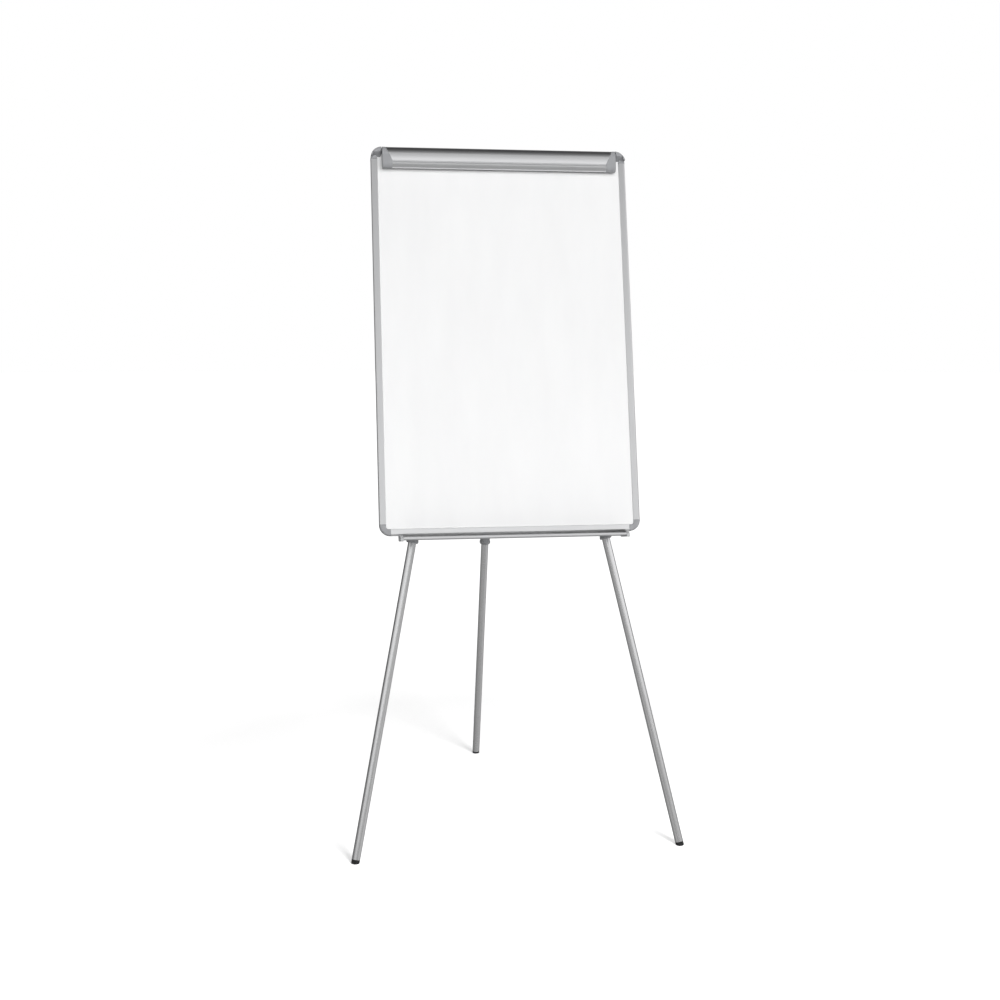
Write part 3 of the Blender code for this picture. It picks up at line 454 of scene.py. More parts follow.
def rounded(path, radius, steps=5, closed=False):
    """The path with each corner turned into a short arc-like curve, no wider than radius allows."""
    points = [Vector(point) for point in path]
    made = []
    for index, here in enumerate(points):
        if not closed and index in (0, len(points) - 1):
            made.append(tuple(here))
            continue
        before, after = points[index - 1], points[(index + 1) % len(points)]
        reach_in = min(radius, (before - here).length * 0.45)
        reach_out = min(radius, (after - here).length * 0.45)
        start = here + (before - here).normalized() * reach_in
        end = here + (after - here).normalized() * reach_out
        for step in range(steps + 1):
            share = step / steps
            point = start * (1 - share) ** 2 + here * (2 * share * (1 - share)) + end * share**2
            made.append(tuple(point))
    return made


def across(x=0.0, up=0.0):
    """Frame of a section drawn as (out, up) that runs along the board's width."""
    return BOARD @ frame_matrix((0, -1, 0), (0, 0, 1), (x, 0, up))


def finish_piece(name, mesh, matrix, body, material, replaces, sharp=32, bevel=0.0):
    """Puts a piece in place, smooths it, and joins it to its CAD body and nodes."""
    mesh.transform(matrix)
    obj = bpy.data.objects.new(name, mesh)
    bpy.context.scene.collection.objects.link(obj)
    mesh.shade_smooth()
    mesh.set_sharp_from_angle(angle=math.radians(sharp))
    mesh.materials.append(material)
    if bevel:
        rounding = obj.modifiers.new("edges", "BEVEL")
        rounding.width = bevel
        rounding.segments = 3
        rounding.limit_method = "ANGLE"
        rounding.angle_limit = math.radians(sharp)
        rounding.harden_normals = True
    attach(obj, body)
    if replaces:
        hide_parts(*replaces)


def mesh_of(name, shape):
    """The mesh of a bmesh, with its faces turned outwards."""
    bmesh.ops.recalc_face_normals(shape, faces=shape.faces)
    mesh = bpy.data.meshes.new(name)
    shape.to_mesh(mesh)
    shape.free()
    return mesh


def lofted_mesh(name, rows):
    """Closed outlines of equal length, joined one to the next, with the first and last closed."""
    shape = bmesh.new()
    rows = [[shape.verts.new(point) for point in row] for row in rows]
    count = len(rows[0])
    for first, second in zip(rows, rows[1:]):
        for index in range(count):
            after = (index + 1) % count
            shape.faces.new((first[index], first[after], second[after], second[index]))
    shape.faces.new(rows[0][::-1])
    shape.faces.new(rows[-1])
    return mesh_of(name, shape)


def section_mesh(name, outline, low, high):
    """A closed outline run from low to high along its frame's z axis."""
    return lofted_mesh(name, [[(x, y, height) for x, y in outline] for height in (low, high)])


def turned_mesh(name, profile, sides=64, ring=False, flutes=0, flute_depth=0.0, fluted=()):
    """A profile of (radius, height) turned round z, closed into a ring if asked.

    The rows listed in fluted get grip flutes.
    """
    shape = bmesh.new()
    rows = []
    for index, (radius, height) in enumerate(profile):
        if radius < 1e-6:
            rows.append([shape.verts.new((0, 0, height))])
            continue
        row = []
        for side in range(sides):
            angle = 2 * math.pi * side / sides
            dip = 0.0
            if index in fluted:
                dip = flute_depth * (0.5 - 0.5 * math.cos(angle * flutes)) ** 0.6
            reach = radius - dip
            row.append(shape.verts.new((reach * math.cos(angle), reach * math.sin(angle), height)))
        rows.append(row)
    pairs = list(zip(rows, rows[1:]))
    if ring:
        pairs.append((rows[-1], rows[0]))
    for first, second in pairs:
        for side in range(sides):
            after = (side + 1) % sides
            corners = [first[side % len(first)], first[after % len(first)]]
            corners += [second[after % len(second)], second[side % len(second)]]
            corners = list(dict.fromkeys(corners))
            if len(corners) > 2:
                shape.faces.new(corners)
    return mesh_of(name, shape)


def bisect(mesh, point, normal, **cleared):
    """Cuts the mesh by a plane, takes away the side that cleared names, and closes the cut."""
    shape = bmesh.new()
    shape.from_mesh(mesh)
    everything = shape.verts[:] + shape.edges[:] + shape.faces[:]
    cut = bmesh.ops.bisect_plane(shape, geom=everything, plane_co=point, plane_no=normal, **cleared)
    edges = [item for item in cut["geom_cut"] if isinstance(item, bmesh.types.BMEdge)]
    bmesh.ops.holes_fill(shape, edges=edges)
    shape.to_mesh(mesh)
    shape.free()


def cut_flat(mesh, matrix):
    """Cuts off what would be below the floor once the matrix has put the mesh in place."""
    back = matrix.inverted()
    bisect(mesh, back @ Vector((0, 0, 0)), back.to_3x3() @ Vector((0, 0, 1)), clear_inner=True)


# ---------------------------------------------------------------- board pieces


def rail_outline():
    """Rail section as (inwards from the outer edge, back from the face)."""
    back = RAIL_DEPTH - RAIL_EDGE
    outline = arc((RAIL_EDGE, RAIL_EDGE), RAIL_EDGE, 270, 180, 14)
    outline += [(0.0, RAIL_DEPTH * 0.42), (0.35 * MM, RAIL_DEPTH * 0.42 + 0.35 * MM)]
    outline += [(0.35 * MM, RAIL_DEPTH * 0.58 - 0.35 * MM), (0.0, RAIL_DEPTH * 0.58)]
    outline += arc((RAIL_EDGE, back), RAIL_EDGE, 180, 90, 14)
    outline += [(RAIL_FACE, RAIL_DEPTH), (RAIL_FACE, GROOVE_BACK), (GROOVE_START, GROOVE_BACK)]
    outline += [(GROOVE_START, LIP), (RAIL_FACE, LIP)]
    return outline + arc((RAIL_FACE - 0.8 * MM, 0.8 * MM), 0.8 * MM, 0, -90, 6)


def make_rails(made):
    """The four frame rails, cut back a little at the corner mouldings."""
    half, middle = BOARD_WIDTH / 2, BOARD_HEIGHT / 2
    rails = {
        "left": ((1, 0, 0), (0, 1, 0), (-half, 0, middle), BOARD_HEIGHT, "rail_upright"),
        "right": ((-1, 0, 0), (0, 1, 0), (half, 0, middle), BOARD_HEIGHT, "rail_upright"),
        "bottom": ((0, 0, 1), (0, 1, 0), (0, 0, 0), BOARD_WIDTH, "rail_across_painted_light"),
        "top": ((0, 0, -1), (0, 1, 0), (0, 0, BOARD_HEIGHT), BOARD_WIDTH, "rail_across_painted_light"),
    }
    for side, (x_axis, y_axis, origin, span, look) in rails.items():
        reach = span / 2 - CORNER - GAP
        mesh = section_mesh("rail_" + side, rail_outline(), -reach, reach)
        matrix = BOARD @ frame_matrix(x_axis, y_axis, origin)
        node = "frame_rail_" + side
        finish_piece("rail_" + side, mesh, matrix, "board", made[look], [node], 30)


def quarter_round(steps=8):
    """(inset, height) steps of a rounded edge of the rail's radius."""
    angles = [math.radians(90 * step / steps) for step in range(steps + 1)]
    return [(RAIL_EDGE * (1 - math.sin(angle)), RAIL_EDGE * (1 - math.cos(angle))) for angle in angles]


def corner_point(side, top, inwards, along, back):
    """A point from its distances in from the side edge, in from the level edge, and back from the face."""
    return (side * (BOARD_WIDTH / 2 - inwards), back, BOARD_HEIGHT - along if top else along)


def make_corner(made, side, side_name, top):
    """Moulded corner over the rails' ends, rounded over its outer edge at front and back."""

    def outline(inset, back):
        inner = RAIL_FACE - inset * 0.25
        centre = inner + CORNER_FILLET
        fillet = arc((centre, centre), CORNER_FILLET, 270, 180, 10)
        points = [(CORNER, inner)] + fillet + [(inner, CORNER)]
        points += arc((CORNER, CORNER), CORNER - inset, 180, 270, 32)
        return [corner_point(side, top, x, z, back) for x, z in points]

    front = [(inset, height - CORNER_PROUD) for inset, height in quarter_round()]
    rear = [(inset, RAIL_DEPTH + CORNER_PROUD - height) for inset, height in reversed(quarter_round())]
    level = "top" if top else "bottom"
    mesh = lofted_mesh("corner", [outline(inset, back) for inset, back in front + rear])
    name = f"corner_{level}_{side_name}"
    node = f"corner_cap_{level}_{side_name}"
    finish_piece(name, mesh, BOARD, "board", made["grey_plastic"], [node], 30)


def make_cheek(made, side, side_name):
    """Rounded cheek on a top corner, which carries the clamp's hinge pin."""
    span = CORNER - 1.6 * MM

    def outline(inset, back):
        reach = CORNER - inset
        points = arc((CORNER, CORNER), reach, 193, 267, 28)
        end = (span - inset * 0.3, points[-1][1])
        low = 14 * MM + (back + CHEEK_PROUD) * 0.8
        points += [end, (end[0], low - CHEEK_FILLET)]
        points += arc((end[0] - CHEEK_FILLET, low - CHEEK_FILLET), CHEEK_FILLET, 0, 90, 8)
        points += [(8 * MM, min(low + 1.5 * MM, 23 * MM))]
        return [corner_point(side, True, x, z, back) for x, z in points]

    front = [(inset, height - CHEEK_PROUD) for inset, height in quarter_round()]
    mesh = lofted_mesh("cheek", [outline(inset, back) for inset, back in front + [(0.0, 2 * MM)]])
    name = "hinge_cheek_" + side_name
    finish_piece(name, mesh, BOARD, "board", made["grey_plastic"], [], 30)


# ---------------------------------------------------------------- pad clamp pieces


def clamp_front():
    """The clamp's outer surface from its back top edge down to its foot, as (out, down is negative)."""
    brow = arc((5.0 * MM, -21.3 * MM), (15.5 * MM, 21.0 * MM), 77, 0, 40)
    return brow + mm([(20.45, -26), (20.3, -30), (20.0, -34), (19.6, -37.6), (19.1, -41.0)])


def clamp_foot():
    """The surface below the bead: it curls in under the clamp to the lip that holds the paper."""
    lip = mm([(18.75, -46.4), (17.8, -50.6), (16.4, -54.4), (14.4, -57.6), (12.4, -59.0), (1.8, -57.8)])
    return rounded(lip, FOOT_EDGE, 5)


def clamp_groove():
    """A fine groove, a half-round bead and a second groove, between the face and the foot."""
    bead = arc((18.55 * MM, -44.5 * MM), (0.75 * MM, 0.85 * MM), 90, -90, 8)
    return mm([(18.0, -41.3), (17.9, -43.5)]) + bead + mm([(18.1, -45.5), (18.1, -46.2)])


def clamp_outline():
    outer = clamp_front() + clamp_groove() + clamp_foot()
    return outer + offset_path(clamp_front() + clamp_foot(), -CLAMP_WALL)[::-1]


def make_clamp(made):
    """The clamp's extruded bar, and the soft strip along its lip."""
    matrix = across(0, BOARD_HEIGHT)
    mesh = section_mesh("clamp_profile", clamp_outline(), -CLAMP_SEEN_HALF, CLAMP_SEEN_HALF)
    look = made["clamp_metal"]
    finish_piece("clamp_profile", mesh, matrix, "clamp", look, ["clamp_bar"], 28)
    strip = mm([(-1.9, -55.0), (-1.9, -57.7), (1.2, -57.7), (1.2, -55.0)])
    strip = rounded(strip, 0.5 * MM, 4, closed=True)
    mesh = section_mesh("clamp_strip", strip, -CAP_SEAM_LOW + MM, CAP_SEAM_LOW - MM)
    nodes = ["clamp_grip_strip"]
    finish_piece("clamp_strip", mesh, matrix, "clamp", made["rubber"], nodes, 30)


def make_clamp_end(made, side, side_name):
    """Moulded end of the clamp: a thin skin over the bar, wider below a slanting seam, and an end wall."""
    skin = offset_path(clamp_front() + clamp_foot(), CLAMP_SKIN)
    back = [(1.0 * MM, skin[-1][1]), (1.0 * MM, -19 * MM)]
    back += arc((HINGE_OUT, -HINGE_DOWN), 7.4 * MM, 190, 100, 10)
    flat_end = CLAMP_END - CLAMP_END_ROUNDING
    low, high = sorted((side * CAP_SEAM_LOW, side * flat_end))
    mesh = section_mesh("clamp_end", skin + back, low, high)
    slant = Vector((CAP_SEAM_TOP - CAP_SEAM_LOW, 46 * MM)).normalized()
    bisect(mesh, (0, 6 * MM, side * CAP_SEAM_TOP), (0, slant.x, -side * slant.y), clear_outer=True)
    rows = []
    for step in range(7):
        angle = math.radians(90 * step / 6)
        inset, reach = CLAMP_END_ROUNDING * (1 - math.cos(angle)), CLAMP_END_ROUNDING * math.sin(angle)
        row = offset_path(skin, -inset) + [(x + inset, z) for x, z in back]
        rows.append([(x, z, side * (flat_end + reach)) for x, z in row])
    wall = lofted_mesh("clamp_end_wall", rows)
    look, node = made["grey_plastic"], "clamp_end_" + side_name
    place = across(0, BOARD_HEIGHT)
    finish_piece("clamp_cap_" + side_name, mesh, place, "clamp", look, [node], 30, 0.25 * MM)
    finish_piece("clamp_cap_wall_" + side_name, wall, place, "clamp", look, [], 35)


def make_hinge_spring(made, side, side_name):
    """Torsion spring round the hinge pin: a fine round wire with one end leg up to the cheek."""
    around = 28
    start, pitch = side * SPRING_START, side * SPRING_PITCH
    centre = BOARD_HEIGHT - HINGE_DOWN
    route = []
    for step in range(SPRING_TURNS * around + 1):
        angle = 2 * math.pi * step / around
        back, up = -HINGE_OUT + SPRING_RADIUS * math.cos(angle), centre + SPRING_RADIUS * math.sin(angle)
        route.append(Vector((start + pitch * step / around, back, up)))
    route.append(route[-1] + Vector((0, 0, 2.4 * MM)))
    rows = []
    for index, point in enumerate(route):
        ahead = route[min(index + 1, len(route) - 1)] - route[max(index - 1, 0)]
        sideways = Vector((1, 0, 0))
        upright = ahead.cross(sideways).normalized()
        sideways = upright.cross(ahead).normalized()
        angles = [2 * math.pi * corner / 10 for corner in range(10)]
        rows.append([point + (sideways * math.cos(a) + upright * math.sin(a)) * SPRING_WIRE for a in angles])
    mesh = lofted_mesh("spring", rows)
    node = "clamp_spring_" + side_name
    finish_piece("spring_wire_" + side_name, mesh, BOARD, "board", made["zinc"], [node], 60)


# ---------------------------------------------------------------- pen tray pieces


def tray_path():
    """The tray's outer surface as (out, up) from the board's bottom edge: flange, floor, lip and brow."""
    path = mm([(-19, -2.1), (-1.5, -2.1), (2.5, -4.5), (5.5, -11), (9, -13.6), (64, -15.6), (69.5, -17.2)])
    path = rounded(path, 3 * MM, 5)
    path += arc((72.4 * MM, -14.8 * MM), 2.6 * MM, 262, 360, 16)
    path += rounded(mm([(75.0, -10.0), (74.3, -9.0), (71.0, -8.4)]), 1.2 * MM, 4)
    return path + mm([(66.5, -3.0), (63.4, -0.1)])


def make_tray(made):
    outer = tray_path()
    outline = outer + offset_path(outer, TRAY_WALL)[::-1]
    mesh = section_mesh("tray_profile", outline, -TRAY_HALF, TRAY_HALF)
    look = made["tray_metal"]
    finish_piece("tray_profile", mesh, across(), "board", look, ["pen_tray"], 28)


def make_tray_end(made, side, side_name):
    """Moulded end of the tray, with softly rounded edges; its front droops below the lip."""
    outline = [(0.6, -0.8), (40, -2.6), (56, -4.4), (62, -4.6), (67, -6.2), (73.0, -9.8), (76.2, -11.4)]
    outline += [(77.0, -13.6), (77.0, -19.5), (75.0, -21.0), (68, -20.0), (8, -16.0), (3, -12)]
    outline = rounded(mm(outline), 1.6 * MM, 4, closed=True)
    low, high = sorted((side * (TRAY_HALF + GAP), side * TRAY_END))
    mesh = section_mesh("tray_end", outline, low, high)
    node = "tray_end_" + side_name
    name, look = "tray_cap_" + side_name, made["light_plastic"]
    finish_piece(name, mesh, across(), "board", look, [node], 50, 1.0 * MM)


# ---------------------------------------------------------------- back pieces


def backwards(x, up):
    """Frame on the board's back at x and up, with its z axis pointing away from the board."""
    return BOARD @ frame_matrix((1, 0, 0), (0, 0, -1), (x, 0, up))


def bracket_outline(inset=0.0):
    """The plate as (across, down) from the front pivots' line: a wide top and a tab to the rear pivot."""
    wide, tall, tab = 105 * MM - inset, 44 * MM - inset, 36 * MM - inset
    end = REAR_PIVOT_DROP - PIVOT_DROP + 28 * MM - inset
    right = [(tab, end), (tab, 56 * MM), (tab + 6 * MM, 50 * MM)]
    right += [(wide - 4 * MM, 20 * MM), (wide, 12 * MM), (wide, -tall)]
    outline = right + [(-x, z) for x, z in reversed(right)]
    return rounded(outline, 8 * MM, 6, closed=True)


def make_bracket(made):
    """Moulded plate with bosses for the front legs, clevis ears for the rear one, and stiffening ribs."""
    place = backwards(0, BOARD_HEIGHT - PIVOT_DROP)
    top = GROOVE_BACK + BRACKET_THICK
    edge = 1.0 * MM
    rows = [[(x, y, GROOVE_BACK) for x, y in bracket_outline()]]
    for step in range(5):
        angle = math.radians(90 * step / 4)
        inset, height = edge * (1 - math.cos(angle)), top - edge * (1 - math.sin(angle))
        rows.append([(x, y, height) for x, y in bracket_outline(inset)])
    look = made["grey_plastic"]

    def add(name, mesh, nodes=(), bevel=0.0):
        finish_piece(name, mesh, place, "board", look, list(nodes), 30, bevel)

    add("bracket_plate", lofted_mesh("bracket_plate", rows), ["head_bracket"])
    drop = REAR_PIVOT_DROP - PIVOT_DROP
    for side_name, side in SIDES:
        end = PIVOT_BACK - EYE_HALF - GAP
        profile = mm([(14.5, -0.5), (13.0, 0.6), (12.2, 2)], top) + mm([(12, -0.6), (11.4, 0), (3.3, 0)], end)
        profile += [(3.3 * MM, top - 0.5 * MM)]
        boss = turned_mesh("boss", profile, ring=True)
        boss.transform(Matrix.Translation((side * PIVOT_SPREAD, 0, 0)))
        add("bracket_boss_" + side_name, boss)
        ear = arc((PIVOT_BACK, 0), EYE_RADIUS, 90, -90, 24) + [(top - MM, -16 * MM), (top - MM, 16 * MM)]
        low, high = sorted((side * EAR_INSIDE, side * EAR_OUTSIDE))
        mesh = section_mesh("ear", [(y, z) for y, z in ear], low, high)
        mesh.transform(Matrix(((0, 0, 1, 0), (0, 1, 0, drop), (1, 0, 0, 0), (0, 0, 0, 1))))
        add("bracket_ear_" + side_name, mesh, (), 0.5 * MM)
        for number, (start, finish) in enumerate(RIBS):
            first = Vector((side * start[0] * MM, start[1] * MM))
            second = Vector((side * finish[0] * MM, finish[1] * MM))
            along = (second - first).normalized()
            aside = Vector((-along.y, along.x)) * RIB_HALF
            corners = [first + aside, second + aside, second - aside, first - aside]
            corners = [tuple(corner) for corner in corners]
            mesh = section_mesh("rib", corners, top - 0.5 * MM, top + RIB_HEIGHT)
            add(f"bracket_rib_{number}_{side_name}", mesh, (), 0.3 * MM)
        make_bracket_screws(made, side, side_name)
        make_front_pin(made, side, side_name)
    make_rear_pin(made)


def make_bracket_screws(made, side, side_name):
    """Pan-head screws with a six-lobed socket."""
    top = GROOVE_BACK + BRACKET_THICK + GAP
    sizes = ((0, 0), (3.9, 0), (3.95, 0.5), (3.7, 1.2), (3.0, 1.8), (2.2, 2.1))
    socket = ((1.75, 2.15), (1.65, 2.0), (1.6, 0.7), (0, 0.6))
    profile = mm(sizes + socket, top)
    places = (
        ("upper", side * 93 * MM, BOARD_HEIGHT - PIVOT_DROP + 32 * MM),
        ("lower", side * 25 * MM, BOARD_HEIGHT - REAR_PIVOT_DROP - 17 * MM),
    )
    for level, x, z in places:
        mesh = turned_mesh("screw", profile, 48, flutes=6, flute_depth=0.45 * MM, fluted=(7, 8))
        node = f"bracket_screw_{level}_{side_name}"
        name = f"screw_head_{level}_{side_name}"
        finish_piece(name, mesh, backwards(x, z), "board", made["zinc"], [node], 35)


def make_front_pin(made, side, side_name):
    """Rivet-headed pin through a front leg's eye."""
    head = PIVOT_BACK + EYE_HALF + GAP
    profile = mm([(0, 3.6), (1.6, 3.6), (2.0, 3.3), (2.4, 3.6), (4.6, 3.4), (6.4, 2.7), (7.3, 1.6)], head)
    profile += mm([(7.5, 0.8), (7.5, 0.2), (7.3, 0)], head) + [(LEG_PIN_RADIUS, head)]
    profile += [(LEG_PIN_RADIUS, GROOVE_BACK + 2 * MM), (0, GROOVE_BACK + 2 * MM)]
    mesh = turned_mesh("front_pin", profile, 48)
    place = backwards(side * PIVOT_SPREAD, BOARD_HEIGHT - PIVOT_DROP)
    node = "front_leg_pin_" + side_name
    finish_piece("pin_front_" + side_name, mesh, place, "board", made["zinc"], [node], 30)


def make_rear_pin(made):
    """Pin across the board through the rear leg's eye and the bracket's ears."""
    outside = EAR_OUTSIDE + GAP
    profile = mm([(0, 2.5), (3.0, 2.4), (4.4, 1.8), (5.0, 0.8), (5.0, 0)], outside)
    profile += [(LEG_PIN_RADIUS, outside), (LEG_PIN_RADIUS, -outside - 1.2 * MM)]
    profile += mm([(2.2, -2.0), (0, -2.0)], -outside)
    place = BOARD @ frame_matrix((0, 1, 0), (0, 0, 1), (0, PIVOT_BACK, BOARD_HEIGHT - REAR_PIVOT_DROP))
    mesh = turned_mesh("rear_pin", profile, 48)
    finish_piece("pin_rear", mesh, place, "board", made["zinc"], ["rear_leg_pin"], 30)


# ---------------------------------------------------------------- leg pieces


def make_knuckle(made, name):
    """Moulded top of a leg: a rounded eye for the pivot pin, a neck and a shoulder on the tube's end; the rear
    leg's also has a heel.
    """
    profile = mm([(0, -1), (8.0, -1), (8.0, -15.5), (8.4, -17.2), (9.6, -19.0), (11.6, -20.6)])
    profile += [(OUTER_RADIUS - 0.2 * MM, -21.2 * MM), (OUTER_RADIUS, -21.8 * MM), (OUTER_RADIUS, -24.6 * MM)]
    profile += [(OUTER_RADIUS - 0.4 * MM, -25 * MM), (0, -25 * MM)]
    look, node = made["grey_plastic"], "leg_knuckle_" + name
    mesh = turned_mesh("neck", profile)
    finish_piece("knuckle_neck_" + name, mesh, LEG[name], "leg_" + name, look, [node], 30)
    soft = 0.7 * MM
    side = [(EYE_RADIUS - soft, EYE_HALF), (EYE_RADIUS - soft * 0.3, EYE_HALF - soft * 0.3)]
    side += [(EYE_RADIUS, EYE_HALF - soft)]
    eye = [(3.3 * MM, EYE_HALF)] + side + [(x, -z) for x, z in reversed(side)] + [(3.3 * MM, -EYE_HALF)]
    mesh = turned_mesh("eye", eye, ring=True)
    across_board = frame_matrix((0, 1, 0), (0, 0, 1), (0, 0, 0))
    through_board = frame_matrix((1, 0, 0), (0, 0, -1), (0, 0, 0))
    place = LEG[name] @ (across_board if name == "rear" else through_board)
    finish_piece("knuckle_eye_" + name, mesh, place, "leg_" + name, look, [], 30)
    if name == "rear":
        middle = BOARD_HEIGHT - REAR_PIVOT_DROP
        near = GROOVE_BACK + BRACKET_THICK + GAP
        low, high = middle + 0.5 * MM, middle + 8 * MM
        heel = [(near, low), (PIVOT_BACK, low), (PIVOT_BACK, high), (near, high)]
        mesh = section_mesh("heel", heel, -6.5 * MM, 6.5 * MM)
        place = BOARD @ across_board
        finish_piece("knuckle_heel", mesh, place, "leg_rear", look, [], 30, 0.5 * MM)


def make_tubes(made, name, length):
    """The outer tube and the inner one that slides in it, each open, with softened ends."""
    inner_top, end = OUTER_END - OVERLAP, length - FOOT_SHOWS
    soft = 0.25 * MM
    sizes = (
        ("tube_outer_", "outer_tube_", "leg_", OUTER_RADIUS, 1.15 * MM, -TUBE_TOP, -OUTER_END),
        ("tube_inner_", "inner_tube_", "inner_", INNER_RADIUS, 1.0 * MM, -inner_top, -end),
    )
    for label, node, body, radius, wall, top, low in sizes:
        bore = radius - wall
        profile = [(bore, top), (radius - soft, top), (radius, top - soft), (radius, low + soft)]
        profile += [(radius - soft, low), (bore, low)]
        mesh = turned_mesh(label + name, profile, 72, ring=True)
        look = made["tube_" + name]
        finish_piece(label + name, mesh, LEG[name], body + name, look, [node + name], 40)


def make_collar(made, name):
    """Twist lock: a sleeve with a grip of fine flutes above a flared, rounded ring."""
    start = -OUTER_END
    bore = INNER_RADIUS + 0.5 * MM
    outer_bore = OUTER_RADIUS + GAP
    sleeve = ((13.9, 24), (14.5, 23.4), (14.7, 22.4), (14.75, 21), (14.75, 20.4), (14.8, 20), (14.8, -2))
    flare = ((14.75, -2.6), (14.8, -4), (15.1, -4.6), (15.7, -5.5), (16.1, -6.9), (16.2, -8.4))
    end = ((16.2, -9.8), (16.0, -11.2), (15.4, -12.5), (14.3, -13.3), (13.2, -13.5))
    profile = [(outer_bore, start + 24 * MM)] + mm(sleeve + flare + end, start)
    profile += [(bore + 0.4 * MM, start - 13.5 * MM), (bore, start - 13.1 * MM), (bore, start - 8.2 * MM)]
    profile += mm([(13.9, -8.2), (13.9, 1)], start) + [(outer_bore, start + 2.5 * MM)]
    piece, body, look = "collar_grip_" + name, "collar_" + name, made["grey_plastic"]
    mesh = turned_mesh(piece, profile, 96, ring=True, flutes=24, flute_depth=0.5 * MM, fluted=(6, 7))
    finish_piece(piece, mesh, LEG[name], body, look, ["lock_collar_" + name], 30)


def make_foot(made, name, length):
    """Rubber foot: a cup with two fine rings and a rounded tip, worn flat on the floor."""
    seat = length - FOOT_SHOWS + GAP
    radius = INNER_RADIUS - 0.05 * MM
    profile = [(0, -seat + 16 * MM), (radius - 1.4 * MM, -seat + 16 * MM), (radius - 1.4 * MM, -seat)]
    profile += [(radius - 0.3 * MM, -seat), (radius, -seat - 0.3 * MM), (radius, -seat - 1.6 * MM)]
    for ring in range(2):
        top = -seat - 1.6 * MM - ring * 2.6 * MM
        profile += [(radius - 0.45 * MM, top - 0.3 * MM), (radius - 0.45 * MM, top - 0.9 * MM)]
        profile += [(radius, top - 1.2 * MM), (radius, top - 2.6 * MM)]
    profile += [(radius - 0.15 * MM, -length - 0.2 * MM), (radius - 0.9 * MM, -length - 1.9 * MM)]
    profile += [(radius - 2.2 * MM, -length - 3.3 * MM), (radius - 5 * MM, -length - 4.4 * MM)]
    profile += [(0, -length - 4.8 * MM)]
    piece, body = "foot_tip_" + name, "inner_" + name
    mesh = turned_mesh(piece, profile)
    cut_flat(mesh, LEG[name])
    finish_piece(piece, mesh, LEG[name], body, made["rubber"], ["foot_" + name], 30)


def make_legs(made):
    """The three legs; a leg's length is the way from its pivot down to the floor."""
    for name in LEGS:
        down = LEG[name].to_3x3() @ Vector((0, 0, -1))
        length = LEG[name].translation.z / -down.z
        make_knuckle(made, name)
        make_tubes(made, name, length)
        make_collar(made, name)
        make_foot(made, name, length)


# ---------------------------------------------------------------- stage, light and camera


def make_floor():
    """A pale floor: white to the eye with the feet's faint shadows, greyer in reflections."""
    mesh = bpy.data.meshes.new("floor")
    shape = bmesh.new()
    bmesh.ops.create_circle(shape, cap_ends=True, segments=64, radius=FLOOR_RADIUS)
    shape.to_mesh(mesh)
    shape.free()
    floor = bpy.data.objects.new("floor", mesh)
    bpy.context.scene.collection.objects.link(floor)
    made = Nodes("floor")
    where = made.plain_coordinates()
    cloud = made.noise(where, 3.0, 3.0)
    made.feed("Base Color", made.ramp(cloud, [(0.3, FLOOR_SEEN - 0.01), (0.7, FLOOR_SEEN)]))
    made.set("Roughness", 0.9)
    made.set("Specular IOR Level", 0.1)
    made.set("Emission Color", (1, 1, 1, 1))
    away = made.add("ShaderNodeVectorMath", operation="LENGTH")
    made.link(where, away.inputs[0])
    furthest = FLOOR_GLOW[-1][0]
    share = made.add("ShaderNodeMath", operation="DIVIDE")
    share.inputs[1].default_value = furthest
    made.link(away.outputs["Value"], share.inputs[0])
    glow = made.ramp(share.outputs[0], [(reach / furthest, level) for reach, level in FLOOR_GLOW])
    made.feed("Emission Strength", glow)
    grey = made.add("ShaderNodeBsdfDiffuse")
    grey.inputs["Color"].default_value = (FLOOR_REFLECTED, FLOOR_REFLECTED, FLOOR_REFLECTED, 1)
    path = made.add("ShaderNodeLightPath")
    choose = made.add("ShaderNodeMixShader")
    made.link(path.outputs["Is Camera Ray"], choose.inputs["Fac"])
    made.link(grey.outputs["BSDF"], choose.inputs[1])
    made.link(made.shader.outputs["BSDF"], choose.inputs[2])
    made.link(choose.outputs["Shader"], made.tree.nodes["Material Output"].inputs["Surface"])
    mesh.materials.append(made.material)
    floor.visible_glossy = False
    return floor


def world_ramp(tree, source, stops, low, high):
    """A grey ramp over source, with stops as (value, grey)."""
    spread = tree.nodes.new("ShaderNodeMapRange")
    spread.inputs["From Min"].default_value = low
    spread.inputs["From Max"].default_value = high
    tree.links.new(source, spread.inputs["Value"])
    node = tree.nodes.new("ShaderNodeValToRGB")
    while len(node.color_ramp.elements) < len(stops):
        node.color_ramp.elements.new(0.5)
    for element, (value, grey) in zip(node.color_ramp.elements, stops):
        element.position = (value - low) / (high - low)
        element.color = (grey, grey, grey, 1)
    tree.links.new(spread.outputs["Result"], node.inputs["Fac"])
    return node.outputs["Color"]


